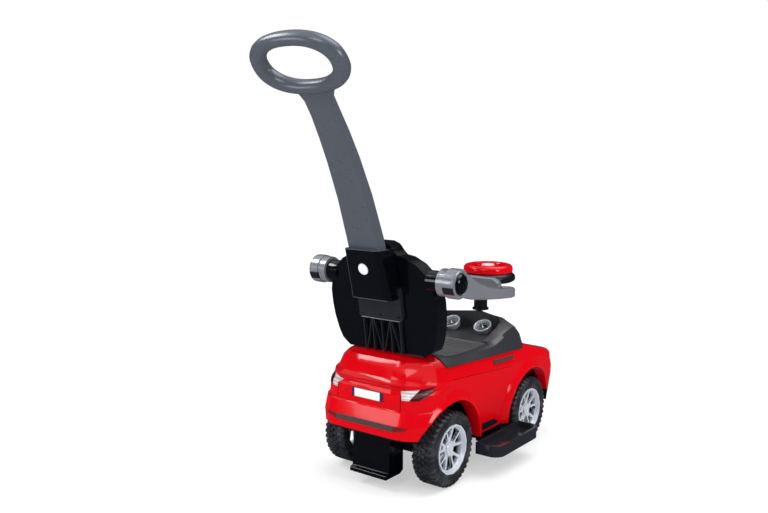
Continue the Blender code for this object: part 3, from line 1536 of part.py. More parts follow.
def handle_ring():
    """The oval ring grip: a rounded band on an oval, leaning back."""
    tilt = math.radians(RING_TILT)
    up = Vector((0.0, math.sin(tilt), math.cos(tilt)))
    ahead = Vector((0.0, -math.cos(tilt), math.sin(tilt)))
    centre = place(0.0, RING_FORWARD, RING_HEIGHT)
    steps = RING_STEPS
    power = 2.0 / 2.3
    rings = []
    for step in range(steps):
        angle = 2 * math.pi * step / steps
        c, s = math.cos(angle), math.sin(angle)
        side_x = math.copysign(abs(c) ** power, c)
        side_y = math.copysign(abs(s) ** power, s)
        band = RING_BAND * (1.0 - 0.22 * abs(s) ** 2)
        middle_x = (RING_HALF_WIDTH - band / 2) * side_x
        middle_y = (RING_HALF_HEIGHT - band / 2) * side_y
        outward = Vector((c / RING_HALF_WIDTH, 0.0, 0.0)) + up * (s / RING_HALF_HEIGHT)
        outward.normalize()
        middle = centre + Vector((middle_x, 0.0, 0.0)) + up * middle_y
        ring = []
        for k in range(8):
            turn = 2 * math.pi * (k + 0.5) / 8
            ring.append(
                middle + outward * (math.cos(turn) * band * 0.53) + ahead * (
                    math.sin(turn) * RING_DEPTH * 0.53
                )
            )
        rings.append(ring)
    return loft(rings, loop=True)


# guard bar

GUARD_SIDE_PATH = (
    # forward, x, low, high
    (-0.036, 0.160, 0.3850, 0.4340),
    (-0.014, 0.160, 0.3790, 0.4290),
    (0.016, 0.158, 0.3715, 0.4150),
    (0.045, 0.157, 0.3670, 0.4000),
    (0.080, 0.156, 0.3620, 0.3880),
    (0.125, 0.155, 0.3565, 0.3770),
    (0.176, 0.155, 0.3520, 0.3715),
)


def build_guard_arm(side, joint):
    """One half of the guard bar: barrel and boss at the pivot, side arm, and one layer of the front bar."""
    name = "left" if side > 0 else "right"
    inner = side * (PIVOT_HALF + GAP)
    outer = side * GUARD_OUTER
    barrel_end = side * (GUARD_OUTER - 0.010)
    barrel = rod(
        place(inner, PIVOT_FORWARD, PIVOT_HEIGHT), place(barrel_end, PIVOT_FORWARD, PIVOT_HEIGHT),
        GUARD_BARREL_RADIUS, steps=ROUND_STEPS,
    )
    arm = make_object(f"guard_arm_{name}", barrel, guard_grey())
    boss_start = place(side * (GUARD_OUTER - 0.021), PIVOT_FORWARD, PIVOT_HEIGHT)
    boss = rod(boss_start, place(outer, PIVOT_FORWARD, PIVOT_HEIGHT), GUARD_BOSS_RADIUS, steps=ROUND_STEPS)
    add(arm, helper("guard_boss", boss))
    rings = []
    half = GUARD_THICKNESS / 2
    for forward, x, low, high in GUARD_SIDE_PATH:
        rings.append(guard_section(side * (x - half), side * (x + half), forward, low, high))
    front_low, front_high = GUARD_FRONT_LOW, GUARD_FRONT_LOW + 2 * GUARD_LAYER
    centre = (GUARD_SIDE_HALF + half - GUARD_CORNER, GUARD_FRONT - GUARD_CORNER)
    for angle in (22.5, 45.0, 67.5, 90.0):
        share = angle / 90.0
        turn = math.radians(angle)
        low = GUARD_SIDE_PATH[-1][2] + (front_low - GUARD_SIDE_PATH[-1][2]) * share
        high = GUARD_SIDE_PATH[-1][3] + (front_high - GUARD_SIDE_PATH[-1][3]) * share
        ring = []
        for radius, z in section_points(GUARD_CORNER - GUARD_THICKNESS, GUARD_CORNER, low, high):
            x = centre[0] + radius * math.cos(turn)
            ring.append(place(side * x, centre[1] + radius * math.sin(turn), z))
        rings.append(ring)
    seam = front_low + GUARD_LAYER
    bar_low, bar_high = (front_low, seam - GAP) if side < 0 else (seam + GAP, front_high)
    shoulder = 0.004
    for x in (centre[0] - shoulder, shoulder + GAP - centre[0]):
        ring = []
        for forward, z in section_points(GUARD_FRONT - GUARD_THICKNESS, GUARD_FRONT, bar_low, bar_high):
            ring.append(place(side * x, forward, z))
        rings.append(ring)
    add(arm, helper("guard_side", loft(rings)))
    if side > 0:
        add(arm, guard_pad(seam + 0.002, front_high))
    bore = rod(
        place(side * 0.12, PIVOT_FORWARD, PIVOT_HEIGHT), place(side * 0.2, PIVOT_FORWARD, PIVOT_HEIGHT),
        PIVOT_STUB_RADIUS + RUNNING_GAP, steps=20,
    )
    cut(arm, helper("guard_bore", bore))
    return joint.hold(arm)


def guard_pad(low, bar_high):
    """The raised middle of the front bar, on its upper layer."""
    rings = []
    shoulder = GUARD_PAD_HALF - 0.014
    for x, share in ((-GUARD_PAD_HALF, 0.5), (-shoulder, 1.0), (shoulder, 1.0), (GUARD_PAD_HALF, 0.5)):
        high = bar_high + GUARD_PAD_RISE * share
        section = section_points(GUARD_FRONT - GUARD_PAD_DEPTH, GUARD_FRONT - 0.0008, low, high)
        rings.append([place(x, forward, z) for forward, z in section])
    return helper("guard_pad", loft(rings))


def section_points(low_a, high_a, low_b, high_b):
    """A rectangle with cut corners, as (a, b) points."""
    bevel = min(0.0025, (high_b - low_b) / 4)
    return [
        (low_a + bevel, low_b), (high_a - bevel, low_b), (high_a, low_b + bevel), (high_a, high_b - bevel),
        (high_a - bevel, high_b), (low_a + bevel, high_b), (low_a, high_b - bevel), (low_a, low_b + bevel),
    ]


def guard_section(x_inner, x_outer, forward, low, high):
    side = 1.0 if x_outer > 0 else -1.0
    points = section_points(abs(x_inner), abs(x_outer), low, high)
    return [place(side * x, forward, z) for x, z in points]


def build_trims(body):
    tree = skin_tree()
    rear = -90.0
    plate_half = 0.0375
    stations = [(-plate_half, 0.1765, 0.1940), (plate_half, 0.1765, 0.1940)]
    on_skin(tree, "number_plate", stations, rear, white_gloss(), thickness=0.0012)
    strip = []
    for x, low, high in (
        (-0.098, 0.1335, 0.1375), (-0.068, 0.1265, 0.1378), (0.068, 0.1265, 0.1378),
        (0.098, 0.1335, 0.1375),
    ):
        strip.append((x, low, high))
    on_skin(tree, "rear_reflector", strip, rear, strip_brown(), thickness=0.0012)
    for side in (LEFT, RIGHT):
        name = "left" if side > 0 else "right"
        build_lights(tree, body, side)
        heading = 180.0 if side > 0 else 0.0
        across = 1.0 if side > 0 else -1.0
        vent = [
            (0.165, 0.2085, 0.2175), (0.185, 0.2085, 0.2165), (0.243, 0.2055, 0.2135),
            (0.250, 0.2085, 0.2125),
        ]
        rows = [(vent_across(forward, heading), low, high) for forward, low, high in vent]
        on_skin(tree, f"side_vent_{name}", rows, heading, strip_brown())
        sill = [(0.1200, 0.0790, 0.0945), (0.165, 0.0800, 0.0930), (0.182, 0.0800, 0.0850)]
        rows = [(vent_across(forward, heading), low, high) for forward, low, high in sill]
        on_skin(tree, f"sill_trim_{name}", rows, heading, black_matte())
    grille = [
        (-0.060, 0.1240, 0.1500), (-0.030, 0.1220, 0.1515), (0.030, 0.1220, 0.1515),
        (0.060, 0.1240, 0.1500),
    ]
    on_skin(tree, "grille", grille, 90.0, black_matte(), thickness=0.002)


def vent_across(forward, heading):
    """The sideways offset, seen along a heading of 0 or 180 degrees, of a place along the car."""
    y = REAR_AXLE_Y - forward
    return y if heading == 0.0 else -y


TAIL_LIGHT = (
    # half width, forward, low, high
    (0.0780, -0.0940, 0.1865, 0.2005),
    (0.0920, -0.0860, 0.1860, 0.2030),
    (0.1040, -0.0750, 0.1870, 0.2050),
    (0.1140, -0.0620, 0.1930, 0.2070),
    (0.1210, -0.0480, 0.2050, 0.2090),
)
HEAD_LIGHT = (
    (0.0640, 0.4470, 0.1480, 0.1600),
    (0.0900, 0.4440, 0.1470, 0.1640),
    (0.1080, 0.4360, 0.1490, 0.1660),
    (0.1220, 0.4200, 0.1570, 0.1670),
)


def build_lights(tree, body, side):
    """The tail lens and the head lens of one side, which wrap round the corners and narrow to a tip."""
    name = "left" if side > 0 else "right"
    for kind, table, heading in (
        ("tail", TAIL_LIGHT, -90.0 - side * 42.0), ("head", HEAD_LIGHT, 90.0 + side * 40.0),
    ):
        points = [(side * x, forward, low, high) for x, forward, low, high in table]
        build_lens(tree, body, f"{kind}_light_{name}", points, heading)


def build_car():
    clear_scene()
    body = build_body()
    build_bumper_lip()
    build_trims(body)
    build_underbody()
    build_storage_box()
    build_stopper()
    build_rear_axle()
    build_seat_surround()
    hinge_forward, hinge_height = seat_hinge()
    build_seat_lid(Joint("seat_hinge", place(0.0, hinge_forward, hinge_height)))
    build_hinge_pin()
    for side in (LEFT, RIGHT):
        build_gauge_pod(side)
        build_pivot_cap(side)
    build_collar()
    build_backrest()
    build_socket()
    build_button(Joint("button_guide", button_centre()))
    build_handle(Joint("handle_guide", shaft_frame()[0]))
    steering = Joint("steering_axis", place(0.0, COLUMN_FORWARD, STEERING_WHEEL_HEIGHT))
    build_steering(steering)
    horn_point = place(0.0, COLUMN_FORWARD + WHEEL_LEAD, STEERING_WHEEL_HEIGHT + WHEEL_COVER_HEIGHT)
    build_horn(Joint("horn_guide", horn_point, steering))
    build_tie_rod(Joint("tie_rod_guide", place(0.0, WHEELBASE - KNUCKLE_ARM, TIE_LOW)))
    for side in (LEFT, RIGHT):
        name = "left" if side > 0 else "right"
        build_guard_arm(
            side, Joint(f"guard_pivot_{name}", place(side * PIVOT_HALF, PIVOT_FORWARD, PIVOT_HEIGHT)),
        )
        build_footrest(
            side,
            Joint(f"footrest_guide_{name}", place(side * FOOTREST_HALF, TONGUE_MIDDLE, FOOTREST_LOW)),
        )
        kingpin = Joint(f"kingpin_{name}", place(side * KINGPIN_HALF, WHEELBASE, AXLE_HEIGHT))
        build_knuckle(side, kingpin)
        front_hub = Joint(f"front_hub_{name}", place(side * TYRE_MIDDLE, WHEELBASE, AXLE_HEIGHT), kingpin)
        build_wheel(f"front_{name}", WHEELBASE, side, front_hub)
        rear_hub = Joint(f"rear_hub_{name}", place(side * TYRE_MIDDLE, 0.0, AXLE_HEIGHT))
        build_wheel(f"rear_{name}", 0.0, side, rear_hub)


build_car()
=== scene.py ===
"""The looks of a kids push car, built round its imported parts. Metres, +Z up, the car faces -Y."""

import json
import math

import bmesh
import bpy
from mathutils import Matrix, Vector


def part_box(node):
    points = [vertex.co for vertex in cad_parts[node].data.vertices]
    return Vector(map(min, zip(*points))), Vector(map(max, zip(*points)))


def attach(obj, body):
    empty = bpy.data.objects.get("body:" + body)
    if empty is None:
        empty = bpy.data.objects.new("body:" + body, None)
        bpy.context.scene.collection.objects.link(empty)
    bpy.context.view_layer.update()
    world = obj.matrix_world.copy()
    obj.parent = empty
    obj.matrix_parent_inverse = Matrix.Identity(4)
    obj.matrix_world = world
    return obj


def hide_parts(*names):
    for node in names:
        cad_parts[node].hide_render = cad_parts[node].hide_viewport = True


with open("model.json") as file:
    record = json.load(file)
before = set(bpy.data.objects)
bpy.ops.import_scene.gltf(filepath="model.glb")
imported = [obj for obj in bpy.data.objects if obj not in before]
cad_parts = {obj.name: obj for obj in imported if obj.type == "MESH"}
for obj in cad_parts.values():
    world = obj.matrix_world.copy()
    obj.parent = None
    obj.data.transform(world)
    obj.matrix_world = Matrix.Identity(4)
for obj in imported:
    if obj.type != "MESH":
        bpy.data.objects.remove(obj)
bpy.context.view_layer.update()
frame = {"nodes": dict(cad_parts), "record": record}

SIDES = (("left", 1.0), ("right", -1.0))
UP = Vector((0.0, 0.0, 1.0))
ORIGIN = Vector((0.0, 0.0, 0.0))
REAR_AXLE_Y = 0.0649
WHEEL_RADIUS = 0.075
WHEELBASE = 0.3124
TYRE_MIDDLE = 0.110
COLUMN_FORWARD = 0.318
STEERING_FORWARD = 0.349
STEERING_HEIGHT = 0.371
PIVOT_FORWARD = -0.043
PIVOT_HEIGHT = 0.410
GUARD_OUTER = 0.1735
BACK_TILT = math.radians(8.5)
HANDLE_TILT = math.radians(17.4)
BODY_OF = {node: body for body, nodes in frame["record"]["behaviour"]["bodies"].items() for node in nodes}


# shader nodes


LINE_SOFT = 0.0003
CLOUD_SCALE = 14.0
SCUFF_SCALE = 95.0
SCUFF_STRETCH = (1.0, 1.0, 2.2)
SCUFF_SHARE = 0.35
SCUFF_FLOOR = 0.82


class Value:
    """A shader socket that takes part in plain arithmetic."""

    def __init__(self, nodes, socket):
        self.nodes = nodes
        self.socket = socket

    def maths(self, operation, first, second):
        return self.nodes.value("ShaderNodeMath", {"operation": operation}, {0: first, 1: second})

    def __add__(self, other):
        return self.maths("ADD", self, other)

    __radd__ = __add__

    def __sub__(self, other):
        return self.maths("SUBTRACT", self, other)

    def __rsub__(self, other):
        return self.maths("SUBTRACT", other, self)

    def __mul__(self, other):
        return self.maths("MULTIPLY", self, other)

    __rmul__ = __mul__

    def __abs__(self):
        return self.maths("ABSOLUTE", self, 0.0)

    def larger(self, other):
        return self.maths("MAXIMUM", self, other)

    def above(self, level, soft):
        """0 below the level and 1 above it, with a soft step."""
        step = {"Value": self, "From Min": level - soft, "From Max": level + soft}
        return self.nodes.value("ShaderNodeMapRange", {"interpolation_type": "SMOOTHSTEP"}, step)

    def within(self, low, high, soft):
        """1 between two levels and 0 outside them."""
        return self.above(low, soft) * (1.0 - self.above(high, soft))

    def line(self, level, half):
        """1 on a thin line where the value has this level."""
        return 1.0 - abs(self - level).above(half, LINE_SOFT)


class Nodes:
    """The shader nodes of a material or of the room."""

    def __init__(self, tree):
        self.tree = tree

    def feed(self, socket, value):
        """Gives a socket its number, its plain colour or its link."""
        if isinstance(value, Value):
            value = value.socket
        if isinstance(value, bpy.types.NodeSocket):
            self.tree.links.new(value, socket)
        elif socket.type == "RGBA":
            socket.default_value = (*value, 1.0)
        else:
            socket.default_value = value

    def node(self, kind, settings=None, sockets=None):
        made = self.tree.nodes.new(kind)
        for key, setting in (settings or {}).items():
            setattr(made, key, setting)
        for key, value in (sockets or {}).items():
            self.feed(made.inputs[key], value)
        return made

    def value(self, kind, settings=None, sockets=None, output=0):
        return Value(self, self.node(kind, settings, sockets).outputs[output])

    def blend(self, mask, first, second):
        """The first shader where the mask is 0, the second where it is 1."""
        return self.node("ShaderNodeMixShader", None, {0: mask, 1: first, 2: second}).outputs[0]


class Finish(Nodes):
    """One material, made round its Principled shader."""

    def __init__(self, name, colour, roughness, metallic=0.0, coat=0.0, shine=0.5):
        self.material = bpy.data.materials.new(name)
        self.material.use_nodes = True
        super().__init__(self.material.node_tree)
        self.shader = self.tree.nodes["Principled BSDF"]
        self.roughness = roughness
        self.set("Base Color", colour)
        self.set("Roughness", roughness)
        self.set("Metallic", metallic)
        self.set("Coat Weight", coat)
        self.set("Specular IOR Level", shine)
        self.place = self.node("ShaderNodeTexCoord").outputs["Object"]

    def set(self, socket, value):
        self.feed(self.shader.inputs[socket], value)

    def along(self, axis):
        """The place along one axis of the object, in metres."""
        return self.value("ShaderNodeSeparateXYZ", None, {0: self.place}, axis)

    def noise(self, scale, detail, stretch=(1.0, 1.0, 1.0)):
        spot = self.node("ShaderNodeMapping", None, {"Vector": self.place, "Scale": stretch}).outputs[0]
        cloud = {"Vector": spot, "Scale": scale, "Detail": detail}
        return self.value("ShaderNodeTexNoise", None, cloud, "Fac")

    def ribs(self, direction, scale):
        settings = {"wave_type": "BANDS", "bands_direction": direction}
        return self.value("ShaderNodeTexWave", settings, {"Vector": self.place, "Scale": scale}, "Fac")

    def mix(self, mask, first, second):
        """A colour between two, by a mask. Each is a plain colour or another mix."""
        return self.node("ShaderNodeMix", {"data_type": "RGBA"}, {0: mask, 6: first, 7: second}).outputs[2]

    def clouded(self, darker, lighter, scale=CLOUD_SCALE, detail=4.0):
        """A colour that drifts between two tones."""
        return self.mix(self.noise(scale, detail), darker, lighter)

    def bump(self, height, distance):
        made = self.node("ShaderNodeBump", None, {"Height": height, "Distance": distance, "Strength": 1.0})
        self.set("Normal", made.outputs[0])

    def scuffed(self):
        """Gloss that varies a little about the finish's own roughness."""
        scuff = self.noise(SCUFF_SCALE, 5.0, SCUFF_STRETCH)
        self.set("Roughness", scuff * (SCUFF_SHARE * self.roughness) + self.roughness * SCUFF_FLOOR)

    def grained(self, depth=0.00003, scale=900.0):
        """A fine skin."""
        self.bump(self.noise(scale, 2.0), depth)


# finishes


def moulded(name, colour, roughness, tone=0.12, grain=0.00003, grain_scale=900.0, **gloss):
    """Moulded plastic: a slight unevenness of tone and gloss, and a fine skin."""
    made = Finish(name, colour, roughness, **gloss)
    darker, lighter = ([min(1.0, part * share) for part in colour] for share in (1.0 - tone, 1.0 + tone))
    made.set("Base Color", made.clouded(darker, lighter))
    made.scuffed()
    if grain:
        made.grained(grain, grain_scale)
    return made


def tyre_finish():
    """Hard moulded tyre: matte, with dusty high spots."""
    made = Finish("tyre", (0.022, 0.023, 0.026), 0.52)
    dust = made.noise(38.0, 6.0)
    tones = ((0.0140, 0.0162, 0.0215), (0.0480, 0.0510, 0.0600))
    made.set("Base Color", made.mix(dust.above(0.56, 0.16), *tones))
    made.set("Roughness", dust * 0.25 + 0.40)
    made.bump(made.noise(420.0, 4.0), 0.00012)
    return made


RIM_FRONT = 0.1150


def rim_finish():
    """Silver in front, dark on the barrel, which shows only from within."""
    made = Finish("rim_silver", (0.56, 0.60, 0.67), 0.30, metallic=0.2, coat=0.2)
    front = abs(made.along("X")).above(RIM_FRONT, 0.0015)
    silver = made.clouded((0.61, 0.65, 0.72), (0.70, 0.74, 0.81))
    made.set("Base Color", made.mix(front, (0.008, 0.008, 0.010), silver))
    made.scuffed()
    made.grained()
    return made


PLATE_BAND = 0.0065
PLATE_BORDER = 0.0006


def plate_finish():
    """A bare white plate with a plain blue band at each end and a thin dark border."""
    made = Finish("number_plate", (0.86, 0.87, 0.90), 0.25)
    low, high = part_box("number_plate")
    across = abs(made.along("X"))
    up = abs(made.along("Z") - (low.z + high.z) / 2)
    cloud = made.noise(60.0, 3.0)
    white = made.mix(cloud, (0.82, 0.83, 0.86), (0.90, 0.90, 0.92))
    banded = made.mix(across.above(high.x - PLATE_BAND, 0.0002), white, (0.010, 0.022, 0.130))
    ends = across.above(high.x - PLATE_BORDER, 0.0001)
    border = ends.larger(up.above((high.z - low.z) / 2 - PLATE_BORDER, 0.0001))
    made.set("Base Color", made.mix(border, banded, (0.02, 0.02, 0.03)))
    made.set("Roughness", cloud * 0.1 + 0.2)
    return made


LENS_EDGE = 0.0018
LENS_SEAM = 0.0014
LENS_RIBS = 60.0


def light_finish(name, node, share, slope, outer_dark, outer_pale):
    """A car light: ribbed clear lens on its inner part, another colour on its outer part, dark borders."""
    made = Finish(name, (0.7, 0.68, 0.68), 0.08, coat=0.6)
    low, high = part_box(node)
    inner, outer = sorted((abs(low.x), abs(high.x)))
    across = abs(made.along("X"))
    ribbed = made.ribs("Z", LENS_RIBS)
    clear = made.mix(ribbed, (0.46, 0.39, 0.39), (0.74, 0.69, 0.70))
    tinted = made.clouded(outer_dark, outer_pale, 120.0, 3.0)
    slant = across - (made.along("Z") - low.z) * slope
    split = inner + (outer - inner) * share
    lens = made.mix(slant.above(split, 0.0006), clear, tinted)
    inner_edge = 1.0 - across.above(inner + LENS_EDGE, LINE_SOFT)
    seam = slant.above(split, LINE_SOFT) - slant.above(split + LENS_SEAM, LINE_SOFT)
    made.set("Base Color", made.mix(inner_edge.larger(seam), lens, (0.030, 0.006, 0.008)))
    made.bump(ribbed, 0.0002)
    return made


REFLECTOR_MIDDLE = 0.070
REFLECTOR_RIBS = 130.0


def reflector_finish():
    """The tail reflector: ribbed smoke in the middle, red towards both ends."""
    made = Finish("reflector", (0.07, 0.04, 0.04), 0.22, coat=0.3)
    smoke = made.mix(made.ribs("X", REFLECTOR_RIBS), (0.050, 0.026, 0.026), (0.100, 0.066, 0.062))
    ends = abs(made.along("X")).above(REFLECTOR_MIDDLE, 0.0015)
    made.set("Base Color", made.mix(ends, smoke, (0.150, 0.008, 0.010)))
    return made


GRILLE_HOLES = 260.0


def grille_finish():
    """A black grille with a grid of square holes, drawn as a bumped checker whose darker squares are painted
    shade in the holes.
    """
    made = Finish("grille_mesh", (0.01, 0.01, 0.012), 0.35)
    holes = made.value("ShaderNodeTexChecker", None, {"Vector": made.place, "Scale": GRILLE_HOLES}, "Fac")
    # painted shade: the darker squares stand for the shade inside the holes
    made.set("Base Color", made.mix(holes, (0.003, 0.003, 0.004), (0.022, 0.022, 0.026)))
    made.bump(holes, 0.0004)
    return made


GATE_HALF = 0.0770
GATE_LOW = 0.1640
GATE_HIGH = 0.2070
TAIL_START = 0.140
SIDE_START = 0.110
CREASE_START = -0.165
CREASE_END = 0.062
CREASE_RISE = 0.088
CREASE_HEIGHT = 0.2076
SEAM_DEPTH = 0.0009
RED_SKIN_SHARE = 0.012


def body_seams(made):
    """The seams of the tailgate and the crease along each side."""
    across = abs(made.along("X"))
    back = made.along("Y")
    height = made.along("Z")
    upright = across.line(GATE_HALF, 0.0008) * height.within(GATE_LOW, GATE_HIGH, 0.0005)
    level = height.line(GATE_HIGH, 0.0005) * (1.0 - across.above(GATE_HALF, 0.0005))
    gate = upright.larger(level) * back.above(TAIL_START, 0.004)
    crease = (height - back * CREASE_RISE).line(CREASE_HEIGHT, 0.0004)
    sides = across.above(SIDE_START, 0.002) * back.within(CREASE_START, CREASE_END, 0.004)
    return gate.larger(crease * sides)


def red_finish():
    """Glossy red, with its seams as fine grooves."""
    made = Finish("red_panel", (0.66, 0.0004, 0.0050), 0.12, coat=0.10, shine=0.26)
    seams = body_seams(made)
    red = made.clouded((0.60, 0.0004, 0.0045), (0.70, 0.0004, 0.0055), 5.0, 3.0)
    made.set("Base Color", made.mix(seams, red, (0.16, 0.0002, 0.0020)))
    made.scuffed()
    made.bump(made.noise(260.0, 2.0) * RED_SKIN_SHARE - seams, SEAM_DEPTH)
    return made


SOCKET_LOW = 0.3700
SOCKET_TOP = 0.4680
SOCKET_HALF_FLAT = 0.0420
SOCKET_TAPER = 0.0662
SOCKET_EDGE = 0.0650
SOCKET_REAR = 0.1500
EDGE_HIGHLIGHT_HALF = 0.0006


def socket_finish():
    """Glossy black, with painted highlight: paler lines along the edges of the socket's raised rear plate."""
    made = Finish("socket_gloss", BLACK, 0.10, shine=0.42)
    across = made.along("X")
    height = made.along("Z")
    side = (across + height * SOCKET_TAPER).line(SOCKET_EDGE, EDGE_HIGHLIGHT_HALF) * height.above(SOCKET_LOW, 0.0005)
    low = height.line(SOCKET_LOW + EDGE_HIGHLIGHT_HALF, EDGE_HIGHLIGHT_HALF)
    top = height.above(SOCKET_TOP - EDGE_HIGHLIGHT_HALF, 0.0004)
    level = low.larger(top) * (1.0 - abs(across).above(SOCKET_HALF_FLAT, 0.0010))
    edges = level.larger(side) * made.along("Y").above(SOCKET_REAR, 0.0020)
    black = made.clouded((0.0012, 0.0018, 0.0030), (0.0016, 0.0023, 0.0038), 18.0, 3.0)
    # painted highlight: these pale lines stand in for light caught on the plate's edges
    made.set("Base Color", made.mix(edges, black, (0.085, 0.092, 0.110)))
    made.scuffed()
    made.grained(0.000008, 300.0)
    return made


# where the painted shade of the recess under each pivot barrel lies
RECESS_SHADE_INNER = 0.1500
RECESS_SHADE_OUTER = 0.1740
RECESS_SHADE_TOP = 0.0040
RECESS_SHADE_DEEP = 0.0180
RECESS_SHADE_BEHIND = 0.0060
RECESS_SHADE_SOFT = 0.0006


def guard_finish():
    """Silver grey, with painted shade: a dark patch under each pivot barrel stands for the shaded mouth of a
    recess.
    """
    made = Finish("guard_silver", (0.25, 0.26, 0.29), 0.24, metallic=0.35, coat=0.3)
    behind = made.along("Y") - (REAR_AXLE_Y - PIVOT_FORWARD)
    under = PIVOT_HEIGHT - made.along("Z")
    wide = abs(made.along("X")).within(RECESS_SHADE_INNER, RECESS_SHADE_OUTER, RECESS_SHADE_SOFT)
    deep = under.within(RECESS_SHADE_TOP, RECESS_SHADE_DEEP, RECESS_SHADE_SOFT) * behind.above(RECESS_SHADE_BEHIND, RECESS_SHADE_SOFT)
    silver = made.clouded((0.235, 0.245, 0.275), (0.265, 0.275, 0.305))
    # painted shade: the near-black patch stands in for the shade inside the recess
    made.set("Base Color", made.mix(wide * deep, silver, (0.018, 0.018, 0.022)))
    made.scuffed()
    made.grained()
    return made


BLACK = (0.0013, 0.0020, 0.0034)
GLOSSY_SKIN = {"tone": 0.2, "grain": 0.000008, "grain_scale": 300.0}
SEAT_SKIN = {"grain": 0.000008, "grain_scale": 700.0}
FINISHES = {
    "red": red_finish(),
    "plate": plate_finish(),
    "tail_light": light_finish(
        "tail_light", "tail_light_left", 0.46, 0.55, (0.040, 0.003, 0.005), (0.090, 0.007, 0.010),
    ),
    "head_light": light_finish(
        "head_light", "head_light_left", 0.70, -0.30, (0.55, 0.56, 0.60), (0.80, 0.82, 0.86),
    ),
    "reflector": reflector_finish(),
    "grille": grille_finish(),
    "black_gloss": moulded("black_gloss", BLACK, 0.10, shine=0.42, **GLOSSY_SKIN),
    "black_satin": moulded("black_satin", (0.0055, 0.0060, 0.0080), 0.32, tone=0.2, shine=0.4),
    "seat": moulded("seat_satin", (0.030, 0.031, 0.036), 0.33, **SEAT_SKIN),
    "guard": guard_finish(),
    "socket": socket_finish(),
    # painted highlight: the lid's grey is set lighter than the seat surround's to stand in for the sheen on
    # its ribs
    "ribbed_seat": moulded("ribbed_seat", (0.058, 0.058, 0.060), 0.24, tone=0.10, **SEAT_SKIN),
    "tray": moulded("tray_gloss", (0.0150, 0.0170, 0.0220), 0.16, shine=0.75, **GLOSSY_SKIN),
    "handle": moulded("grey_pearl", (0.104, 0.118, 0.143), 0.29, tone=0.05, grain=0.0, metallic=0.30),
    "rim": rim_finish(),
    "tyre": tyre_finish(),
    "steel": moulded("steel_rod", (0.55, 0.55, 0.57), 0.32, tone=0.08, metallic=1.0),
    "strip": moulded("strip_brown", (0.070, 0.042, 0.040), 0.25, tone=0.15, coat=0.3),
    "white": moulded("white_plastic", (0.82, 0.83, 0.86), 0.22, tone=0.03, coat=0.3),
    "pod": moulded("pod_silver", (0.42, 0.45, 0.49), 0.25, tone=0.05, metallic=0.3, coat=0.3),
    "dial": moulded("dial_black", (0.010, 0.011, 0.014), 0.12, tone=0.1, coat=0.6),
}


# making pieces


BEVEL_FROM = math.radians(32.0)
EVENLY_SHADED = {f"{node}_moulding" for node in ("body_shell", "backrest", "push_handle", "seat_surround")}


def mesh_of(name, bm):
    mesh = bpy.data.meshes.new(name)
    bm.to_mesh(mesh)
    bm.free()
    return mesh


def added(name, data):
    """A new object in the scene."""
    made = bpy.data.objects.new(name, data)
    bpy.context.scene.collection.objects.link(made)
    return made


def finished(name, bm, body, finish, smooth=35.0, stands_for=(), soften=0.0, segments=2):
    """A piece from a bmesh. It rides on a body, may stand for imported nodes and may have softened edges."""
    mesh = mesh_of(name, bm)
    mesh.shade_smooth()
    mesh.set_sharp_from_angle(angle=math.radians(smooth))
    mesh.materials.append(FINISHES[finish].material)
    piece = added(name, mesh)
    if soften:
        bevel = piece.modifiers.new("soft_edges", "BEVEL")
        bevel.width = soften
        bevel.segments = segments
        bevel.limit_method = "ANGLE"
        bevel.angle_limit = BEVEL_FROM
        if name in EVENLY_SHADED:
            weighted = piece.modifiers.new("even_faces", "WEIGHTED_NORMAL")
            weighted.mode = "FACE_AREA_WITH_ANGLE"
            weighted.keep_sharp = True
        else:
            bevel.harden_normals = True
    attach(piece, body)
    if stands_for:
        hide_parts(*stands_for)


def joined_copy(node):
    """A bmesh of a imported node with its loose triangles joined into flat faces."""
    bm = bmesh.new()
    bm.from_mesh(frame["nodes"][node].data)
    bmesh.ops.remove_doubles(bm, verts=bm.verts, dist=0.000002)
    bmesh.ops.dissolve_limit(bm, angle_limit=math.radians(0.6), verts=bm.verts, edges=bm.edges)
    return bm


def place(x, forward, z):
    """A point from its sideways place, its distance forward of the rear axle and its height."""
    return Vector((x, REAR_AXLE_Y - forward, z))


def frame_at(point, out):
    """The transform that puts a piece made along +Z at a point, facing a direction."""
    return Matrix.Translation(point) @ Vector(out).to_track_quat("Z", "Y").to_matrix().to_4x4()


def turned(degrees):
    return Matrix.Rotation(math.radians(degrees), 4, "Z")


def carried(bm, matrix):
    bmesh.ops.transform(bm, matrix=matrix, verts=bm.verts)
    return bm


def merged(target, *others):
    """The others' faces are added to the target bmesh."""
    for other in others:
        mesh = mesh_of("part_of_piece", other)
        target.from_mesh(mesh)
        bpy.data.meshes.remove(mesh)
    return target


def spun(profile, point, out, steps, closed=True):
    """A turned solid from (radius, distance outwards) points. The profile is closed or ends on the axis."""
    bm = bmesh.new()
    spots = [bm.verts.new((radius, 0.0, along)) for radius, along in profile]
    pairs = list(zip(spots, spots[1:]))
    if closed:
        pairs.append((spots[-1], spots[0]))
    edges = [bm.edges.new(pair) for pair in pairs]
    bmesh.ops.spin(
        bm, geom=spots + edges, cent=ORIGIN, axis=UP, angle=2 * math.pi, steps=steps, use_merge=True,
    )
    bmesh.ops.remove_doubles(bm, verts=bm.verts, dist=0.000001)
    bmesh.ops.recalc_face_normals(bm, faces=bm.faces)
    return carried(bm, frame_at(point, out))


def rounded(bm, edges, offset, segments):
    bmesh.ops.bevel(
        bm, geom=edges, offset=offset, offset_type="OFFSET", segments=segments, profile=0.5, affect="EDGES",
        material=-1,
    )


